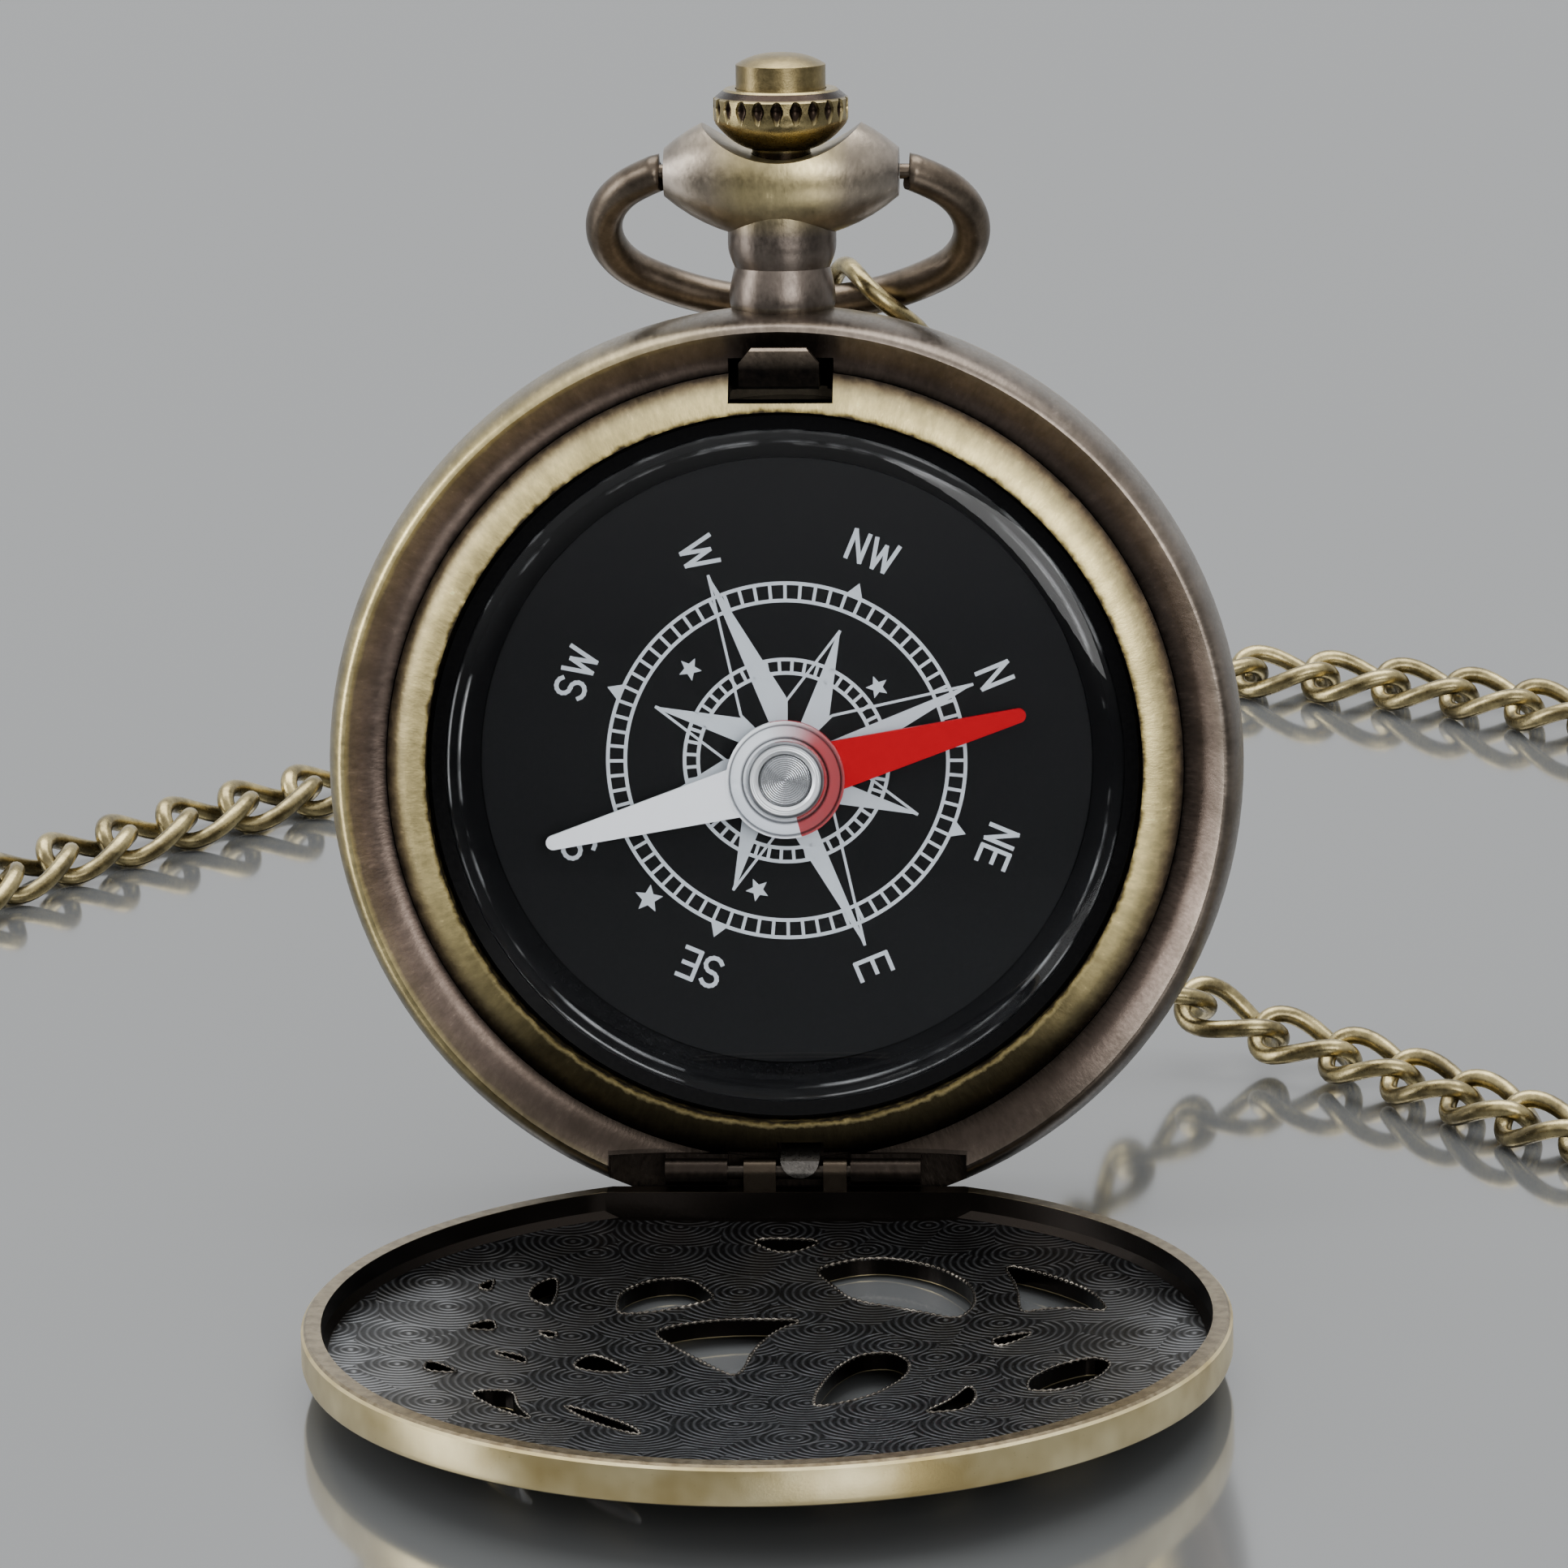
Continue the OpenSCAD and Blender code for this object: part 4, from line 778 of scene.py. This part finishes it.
# %% The chain
LINK_L, LINK_W, WIRE, PITCH, TWIST, COUNT = 6.5, 4.4, 0.95, 4.2, math.radians(90), 69
ROUNDNESS, FIRST_ROLL, ROLL_LINKS = 2.4, 26, 9
FIRST_L, FIRST_W = LINK_L + 2, LINK_W + 2.2
FIRST_S = FIRST_L / 2 - WIRE - BOW_WIRE - 0.3
HOLD_X = 3.6
HOLD_Y = DROP - LONG_R + BOW_B + math.sqrt(LONG_R ** 2 - HOLD_X ** 2)
start = from_dial([HOLD_X + BOW_SHIFT, BARREL_Y - HOLD_Y * math.cos(BOW_FOLD),
                   -STEM_DEPTH - HOLD_Y * math.sin(BOW_FOLD)]) / MM
ROUTE = np.array([start, [5.75, 19.45, 36.5], [7.85, 21, 28.6], [10, 22.3, 21], [12.4, 23.3, 13.6],
                  [15.4, 24, 7.8], [19.6, 24.1, 4], [24.2, 23, 2.2], [28.4, 21, 1.6], [34, 16.4, 1.3],
                  [40.2, 10.6, 1.25], [48.4, 6.8, 1.25], [57.2, 8, 1.25], [63.7, 13.9, 1.25],
                  [66.6, 22.5, 1.25], [65.8, 33, 1.25],
                  [63.5, 44.5, 1.25], [58, 57, 1.25], [50, 68.5, 1.25], [40.3, 76.4, 1.25], [30, 81.5, 1.25],
                  [18, 84, 1.25], [4, 83.5, 1.25], [-9, 79.5, 1.25], [-19.5, 72, 1.25], [-28.8, 64.6, 1.25],
                  [-37, 58, 1.25], [-45.9, 48.9, 1.25], [-52, 38, 1.25], [-55, 26, 1.25], [-56, 14, 1.25],
                  [-56, 0, 1.25], [-54, -14, 1.25]])


def smooth_route(points, steps=8):
    """A smooth curve through the points. Between b and c, with a before them and d after them, it is
    (2b + (c-a)s + (2a-5b+4c-d)s^2 + (3b-a-3c+d)s^3) / 2."""
    p = np.concatenate([points[:1], points, points[-1:]])
    a, b, c, d = p[:-3, None], p[1:-2, None], p[2:-1, None], p[3:, None]
    s = (np.arange(steps) / steps)[None, :, None]
    return (0.5 * (2 * b + (c - a) * s + (2 * a - 5 * b + 4 * c - d) * s ** 2
                   + (3 * b - a - 3 * c + d) * s ** 3)).reshape(-1, 3)


curve = smooth_route(ROUTE)
length = np.concatenate([[0], np.cumsum(np.linalg.norm(np.diff(curve, axis=0), axis=1))])


def place(s):
    """The point at this distance along the route."""
    return np.stack([np.interp(s, length, curve[:, k]) for k in range(3)], -1)


def link_points(l, w, stations=44, sides=14):
    """A twisted oval of wire: (L cos a, W sin a) with rounded ends, turned about x by -T/2 x / L."""
    def centre(a):
        c, s = np.cos(a), np.sin(a)
        x = (l - WIRE) / 2 * np.sign(c) * np.abs(c) ** (2 / ROUNDNESS)
        y = (w - WIRE) / 2 * np.sign(s) * np.abs(s) ** (2 / ROUNDNESS)
        t = -TWIST * x / (l - WIRE)
        return np.stack([x, y * np.cos(t), y * np.sin(t)], -1), t
    a = np.linspace(0, 2 * math.pi, stations, endpoint=False) + math.pi / stations
    mid, t = centre(a)
    nearby = 0.03
    ahead = unit(centre(a + nearby)[0] - centre(a - nearby)[0])
    flat = np.stack([0 * t, -np.sin(t), np.cos(t)], -1)
    over = unit(flat - (flat * ahead).sum(-1, keepdims=True) * ahead)
    return sweep(mid, np.cross(over, ahead), over, WIRE / 2, sides, True)


middle = FIRST_S + PITCH * np.arange(COUNT)
ahead = unit(place(middle + PITCH / 2) - place(middle - PITCH / 2))
up = unit(np.array([0, 0, 1]) - ahead[:, 2:] * ahead)
roll = np.radians(-FIRST_ROLL * np.maximum(0, 1 - middle / (ROLL_LINKS * PITCH)))[:, None]
normal = up * np.cos(roll) + np.cross(ahead, up) * np.sin(roll)
basis = np.stack([ahead, np.cross(normal, ahead), normal], 1)
big, big_faces = link_points(FIRST_L, FIRST_W)
small, small_faces = link_points(LINK_L, LINK_W)
first = big @ basis[0] + place(middle[:1])
rest = np.einsum("vk,ikj->ivj", small, basis[1:]) + place(middle[1:])[:, None]
verts = np.concatenate([first, rest.reshape(-1, 3)])
starts = len(first) + len(small) * np.arange(COUNT - 1)
faces = np.concatenate([big_faces, (small_faces + starts[:, None, None]).reshape(-1, 4)])
piece("curb_chain", verts * MM, faces, "case", MATERIALS["chain"], ["chain"])

# %% [markdown]
# The dial's print: a compass rose of eight points, each half solid and half outlined, two ladder
# rings, stars and the letters of the directions. It is a screen print, so it is a thin flat layer
# that lies on the card, made of strips and filled shapes. As a mesh it stays sharp close up, which a
# painted texture wouldn't.

# %% The dial's print
LINE = 0.17
INK_LIFT, LAYER_STEP, LAYERS = 0.012, 0.0004, 12
quads = []


def fill(points):
    """A filled quadrilateral."""
    quads.append(np.asarray(points, float))


def stroke(points, width, closed=False, round_ends=True):
    """Each straight piece of a line as a quad of this width, a little longer than the piece."""
    p = np.asarray(points, float)
    q = np.roll(p, -1, 0) if closed else p[1:]
    p = p if closed else p[:-1]
    d = unit(q - p)
    m = np.stack([-d[:, 1], d[:, 0]], -1) * width / 2
    over = d * width * 0.35 if round_ends else d * 0
    for a in np.stack([p - over - m, q + over - m, q + over + m, p - over + m], 1):
        fill(a)


def polar(r, degrees):
    """(r cos a, r sin a)."""
    a = np.radians(degrees)
    return np.stack([r * np.cos(a), r * np.sin(a)], -1)


def ladder(outer, inner, cells, phase):
    """Two circles with rungs between them."""
    a = np.linspace(0, 360, 181)
    for r in (outer, inner):
        stroke(polar(r, a), LINE * 1.1, round_ends=False)
    for k in np.arange(cells) * 360 / cells + phase:
        stroke([polar(inner, k), polar(outer, k)], LINE, round_ends=False)


def rose_point(turn, tip, waist, half_width):
    """One point: the half on the near side filled, the other half an outline."""
    a, w = polar(tip, turn), polar(waist, turn + half_width)
    c = polar(waist, turn - half_width)
    fill([(0, 0), c, a, a])
    stroke([(0, 0), w, a], LINE * 0.8, round_ends=False)
    stroke([(0, 0), a], LINE * 0.8, round_ends=False)


def glyph(letter, at, turn, up, size, thick=0.22):
    """Plain letters of round strokes on a box one high, with their tops in the direction up."""
    bow_s = np.concatenate([polar(0.25, np.linspace(30, 270, 10)) * [1.1, 1] + [0.33, 0.74],
                            polar(0.26, np.linspace(90, -150, 10)) * [1.1, 1] + [0.33, 0.25]])
    shapes = {"N": ([[(0, 0), (0, 1), (0.5, 0), (0.5, 1)]], 0.5),
              "E": ([[(0.55, 1), (0, 1), (0, 0), (0.55, 0)], [(0, 0.52), (0.48, 0.52)]], 0.55),
              "S": ([bow_s], 0.62),
              "W": ([[(0, 1), (0.21, 0), (0.41, 0.85), (0.61, 0), (0.82, 1)]], 0.82)}
    widths = [shapes[k][1] for k in letter]
    total = sum(widths) + 0.26 * (len(letter) - 1)
    x = -total / 2
    c, s = np.cos(np.radians(up - 90)), np.sin(np.radians(up - 90))
    for k, w in zip(letter, widths):
        for line in shapes[k][0]:
            q = (np.asarray(line) + [x, -0.5]) * size
            stroke(q @ np.array([[c, s], [-s, c]]) + polar(at, turn), thick)
        x += w + 0.26


ladder(9.2, 8.3, 72, 0)
ladder(5.25, 4.55, 48, 3.75)
NORTH = 22.3
for k, name in enumerate(("N", "NW", "W", "SW", "S", "SE", "E", "NE")):
    turn = NORTH + 45 * k
    if len(name) == 2:
        rose_point(turn, 7.3, 3.1, 22.5)
        out = polar(9.25, turn)
        across = polar(0.42, turn + 90)
        fill([out + across, out - across, polar(9.95, turn), polar(9.95, turn)])
        glyph(name, 11.7, turn, turn, 1.5)
    else:
        rose_point(turn, 10.4, 3.3, 22.5)
        glyph(name, 11.6, turn, NORTH, 1.7)
for r, a, size in ((6.85, 136, 0.62), (6.05, 39, 0.6), (6.9, -103, 0.62), (10.15, -135, 0.75)):
    corner = polar(size, a + 72 * np.arange(5))
    dent = polar(size * 0.45, a + 36 + 72 * np.arange(5))
    for k in range(5):
        fill(polar(r, a) + np.array([(0, 0), dent[k - 1], corner[k], dent[k]]))
# Shapes that overlap lie on slightly different heights, so that none shows through another.
flat = np.concatenate(quads)
layer = np.repeat(np.arange(len(quads)) % LAYERS, 4)
height = INK_LIFT - DIAL_DEPTH + LAYER_STEP * layer
faces = np.arange(len(flat)).reshape(-1, 4)
corners = flat.reshape(-1, 4, 2)
long, wide = corners[:, 2] - corners[:, 0], corners[:, 3] - corners[:, 1]
turned = long[:, 0] * wide[:, 1] < long[:, 1] * wide[:, 0]
faces[turned] = faces[turned][:, ::-1]
piece("dial_print", from_dial(np.concatenate([flat, height[:, None]], 1)), faces, "case",
      MATERIALS["print"], smooth=False)

# %% [markdown]
# Where the lid's ornament is cut through, the die leaves a raised, slightly beaded edge that is
# rubbed bright. A bump couldn't show it from the side, so it is a thin wire of uneven thickness along
# each hole, on the inner face. The corners of the holes are in hundredths of the lid's radius.

# %% Edges of the pierced ornament
HOLES = [
    [[-9.4, -75.1], [10.3, -74.2], [0.4, -63.5]],
    [[-34.3, -27], [-34.3, -39.9], [-27.9, -48.1], [-19.3, -49.4], [-13.7, -38.6], [-13.7, -35.2],
     [-23.2, -28.3], [-32.2, -24.9]],
    [[6.9, -55.4], [15.9, -61.8], [24, -62.2], [34.3, -56.2], [42.1, -44.6], [43.8, -30.9],
     [40.3, -21], [30.9, -27.5], [16.7, -34.8], [12, -44.2]],
    [[48.1, -57.5], [59.2, -48.9], [68.7, -37.8], [73, -23.2], [66.5, -26.6], [58.8, -27],
     [53.2, -24.5], [52.4, -40.8]],
    [[-26.2, -13.7], [-18.5, -20.2], [-7.3, -23.2], [7.7, -22.3], [1.3, -16.3], [-3, -3.4],
     [-5.2, 17.2], [-11.2, 9.9], [-18.9, -1.7]],
    [[19.7, 0.9], [26.6, -0.4], [30.9, 6], [30.9, 15.9], [24.5, 29.6], [11.6, 38.6], [11.6, 27.5],
     [14.6, 11.2]],
    [[47.2, -8.2], [58.4, -12.4], [49.8, -1.3]],
    [[70, 6.4], [74.7, 11.2], [71.7, 21.9], [63.5, 29.2], [56.7, 28.8], [56.7, 20.2], [62.2, 11.6]],
    [[44.2, 22.7], [46.4, 30.5], [44.6, 40.8], [34.3, 42.9], [40.8, 33.5]],
    [[-48.5, -48.9], [-47.6, -38.6], [-48.5, -28.3], [-54.1, -34.3], [-53.2, -42.9]],
    [[-61.8, -46.4], [-62.2, -37.3], [-65.7, -40.3]],
    [[-60.5, -20.2], [-58.8, -11.6], [-67, -12.9]],
    [[-51.1, -12.9], [-45.5, -12], [-46.8, -7.3]],
    [[-37.8, 0], [-26.2, 15.5], [-42.5, 12.4]],
    [[-60.5, 0.9], [-51.5, 4.3], [-51.1, 10.7]],
    [[-72.5, 8.6], [-63.9, 17.6], [-73, 17.2]],
    [[-63.1, 29.6], [-52.4, 27.9], [-51.1, 39.5], [-46.4, 49.4], [-54.5, 42.9]],
    [[-42.5, 36.9], [-36.5, 40.8], [-25.3, 51.9], [-23.2, 59.2], [-34.8, 49.4]]]


def hole_line(corners, keep=0.42, step=0.09):
    """The hole's outline: each corner q as (1-s)^2 a + 2 s (1-s) q + s^2 b, then even steps along it."""
    q = np.array(corners) * LID_R / 100
    a = q + (np.roll(q, 1, 0) - q) * keep
    b = q + (np.roll(q, -1, 0) - q) * keep
    s = np.linspace(0, 1, 7)[None, :, None]
    p = ((1 - s) ** 2 * a[:, None] + 2 * s * (1 - s) * q[:, None] + s ** 2 * b[:, None]).reshape(-1, 2)
    p = np.concatenate([p, p[:1]])
    run = np.concatenate([[0], np.cumsum(np.linalg.norm(np.diff(p, axis=0), axis=1))])
    m = int(run[-1] / step)
    at = np.linspace(0, run[-1], m, endpoint=False)
    return np.stack([np.interp(at, run, p[:, k]) for k in (0, 1)], -1)


BEAD_R, BEAD_POINTS = 0.075, 4.5
rng = np.random.default_rng(7)
verts, faces, count = [], [], 0
for hole in HOLES:
    p = hole_line(hole)
    d = unit(np.roll(p, -1, 0) - np.roll(p, 1, 0))
    z = RIM_H - PLATE_T + LID_DOME * (1 - (p ** 2).sum(1) / LID_R ** 2)
    m = len(p)
    beads = np.sin(np.arange(m) * 2 * math.pi * round(m / BEAD_POINTS) / m)
    uneven = np.convolve(rng.uniform(-1, 1, m + 8), np.ones(9) / 4, "valid")
    swell = np.abs(BEAD_R * (1 + 0.45 * beads + 0.25 * uneven))
    side = np.stack([-d[:, 1], d[:, 0], 0 * z], -1)
    up = np.tile([0.0, 0.0, 1.0], (m, 1))
    v, f = sweep(np.concatenate([p, z[:, None]], 1), side, up, swell, 8, True)
    verts.append(v)
    faces.append(f + count)
    count += len(v)
piece("lid_hole_edges", from_lid(np.concatenate(verts)), np.concatenate(faces), "lid",
      MATERIALS["edge"])

# %% [markdown]
# The table top is pale and glossy. It mirrors the sky behind the object, so its own colour is darker
# than it looks, and its high index makes the mirror strong even where it is seen from above.

# %% The floor
FLOOR_HALF = 3.0
floor_mat = material("pale_table_top", Roughness=0.1, IOR=2.8, Base_Color=linear("#565859"))[2]
corners = [(-1, -1, 0), (1, -1, 0), (1, 1, 0), (-1, 1, 0)]
mesh = bpy.data.meshes.new("floor")
mesh.from_pydata(FLOOR_HALF * np.array(corners), [], [(0, 1, 2, 3)])
mesh.materials.append(floor_mat)
floor = bpy.data.objects.new("floor", mesh)
bpy.context.scene.collection.objects.link(floor)
print("floor", 2 * FLOOR_HALF, "m across")

# %% [markdown]
# Soft studio light: one large light above and behind lays a broad highlight on every upper edge, a
# weaker one stands in front, and a narrow one to the left. The light all round is strong above and
# behind and weak in front, so that the black dial stays dark under its crystal.

# %% Light
AIM_HEIGHT = 22
TARGET = Vector((0, 0, (HINGE_Z + AIM_HEIGHT) * MM))


def soft_light(name, at, size, watts):
    """A white area light of this width and height that looks at the target."""
    data = bpy.data.lights.new(name, "AREA")
    data.shape = "RECTANGLE"
    data.size, data.size_y = size
    data.energy = watts
    obj = bpy.data.objects.new(name, data)
    obj.location = at
    obj.rotation_euler = (Vector(at) - TARGET).to_track_quat("Z", "Y").to_euler()
    bpy.context.scene.collection.objects.link(obj)
    print(name, "light", watts, "W")


soft_light("top", (0.0, 0.25, 0.75), (0.9, 0.6), 9.0)
soft_light("front", (0.33, -0.78, 0.36), (0.45, 0.35), 3.0)
soft_light("left", (-0.7, -0.1, 0.25), (0.25, 0.5), 3.0)
world = bpy.data.worlds.new("studio")
world.use_nodes = True
sky = world.node_tree
x, y, z = add(sky, "SeparateXYZ", [add(sky, "TexCoord", out="Generated")], out=slice(3))
high = add(sky, "ValToRGB", [z], stops=[(0, 0.02), (0.1, 0.05), (0.3, 0.45), (0.7, 0.9), (1, 1.0)])
behind = add(sky, "Math", [y, 0.5, 0.5], operation="MULTIPLY_ADD")
behind = add(sky, "ValToRGB", [behind], stops=[(0, 0.0), (0.5, 0.1), (0.75, 1.0), (1, 1.0)])
light = add(sky, "MixRGB", [behind, high, (0.8, 0.81, 0.82, 1)])
connect(sky, sky.nodes["Background"], {"Color": light, "Strength": 1.35})
bpy.context.scene.world = world

# %% [markdown]
# The camera was fitted to the rims of the case, dial and lid as they lie in the photograph. It is far
# away with a long lens, as for a product picture, so the case hardly narrows towards the top. It
# looks down a little and is rolled a little to the side.

# %% The camera
FRAME_PX, FOCAL_PX, SHIFT_PX, SENSOR = 1932, 16750, (5.5, -19), 36
DISTANCE, YAW, ROLL = 0.692, math.radians(3.3), math.radians(-1.2)
ELEVATION = LEAN + math.radians(8.55)
camera = bpy.data.objects.new("camera", bpy.data.cameras.new("camera"))
bpy.context.scene.collection.objects.link(camera)
flat = math.cos(ELEVATION)
eye = TARGET + DISTANCE * Vector((math.sin(YAW) * flat, -math.cos(YAW) * flat, math.sin(ELEVATION)))
turn = (eye - TARGET).to_track_quat("Z", "Y").to_matrix() @ Matrix.Rotation(ROLL, 3, "Z")
camera.matrix_world = Matrix.Translation(eye) @ turn.to_4x4()
camera.data.sensor_width = SENSOR
camera.data.lens = FOCAL_PX * SENSOR / FRAME_PX
camera.data.shift_x, camera.data.shift_y = (s / FRAME_PX for s in SHIFT_PX)
camera.data.clip_start, camera.data.clip_end = 0.01, 10
bpy.context.scene.camera = camera
print("lens", round(camera.data.lens, 1), "mm at", DISTANCE, "m")
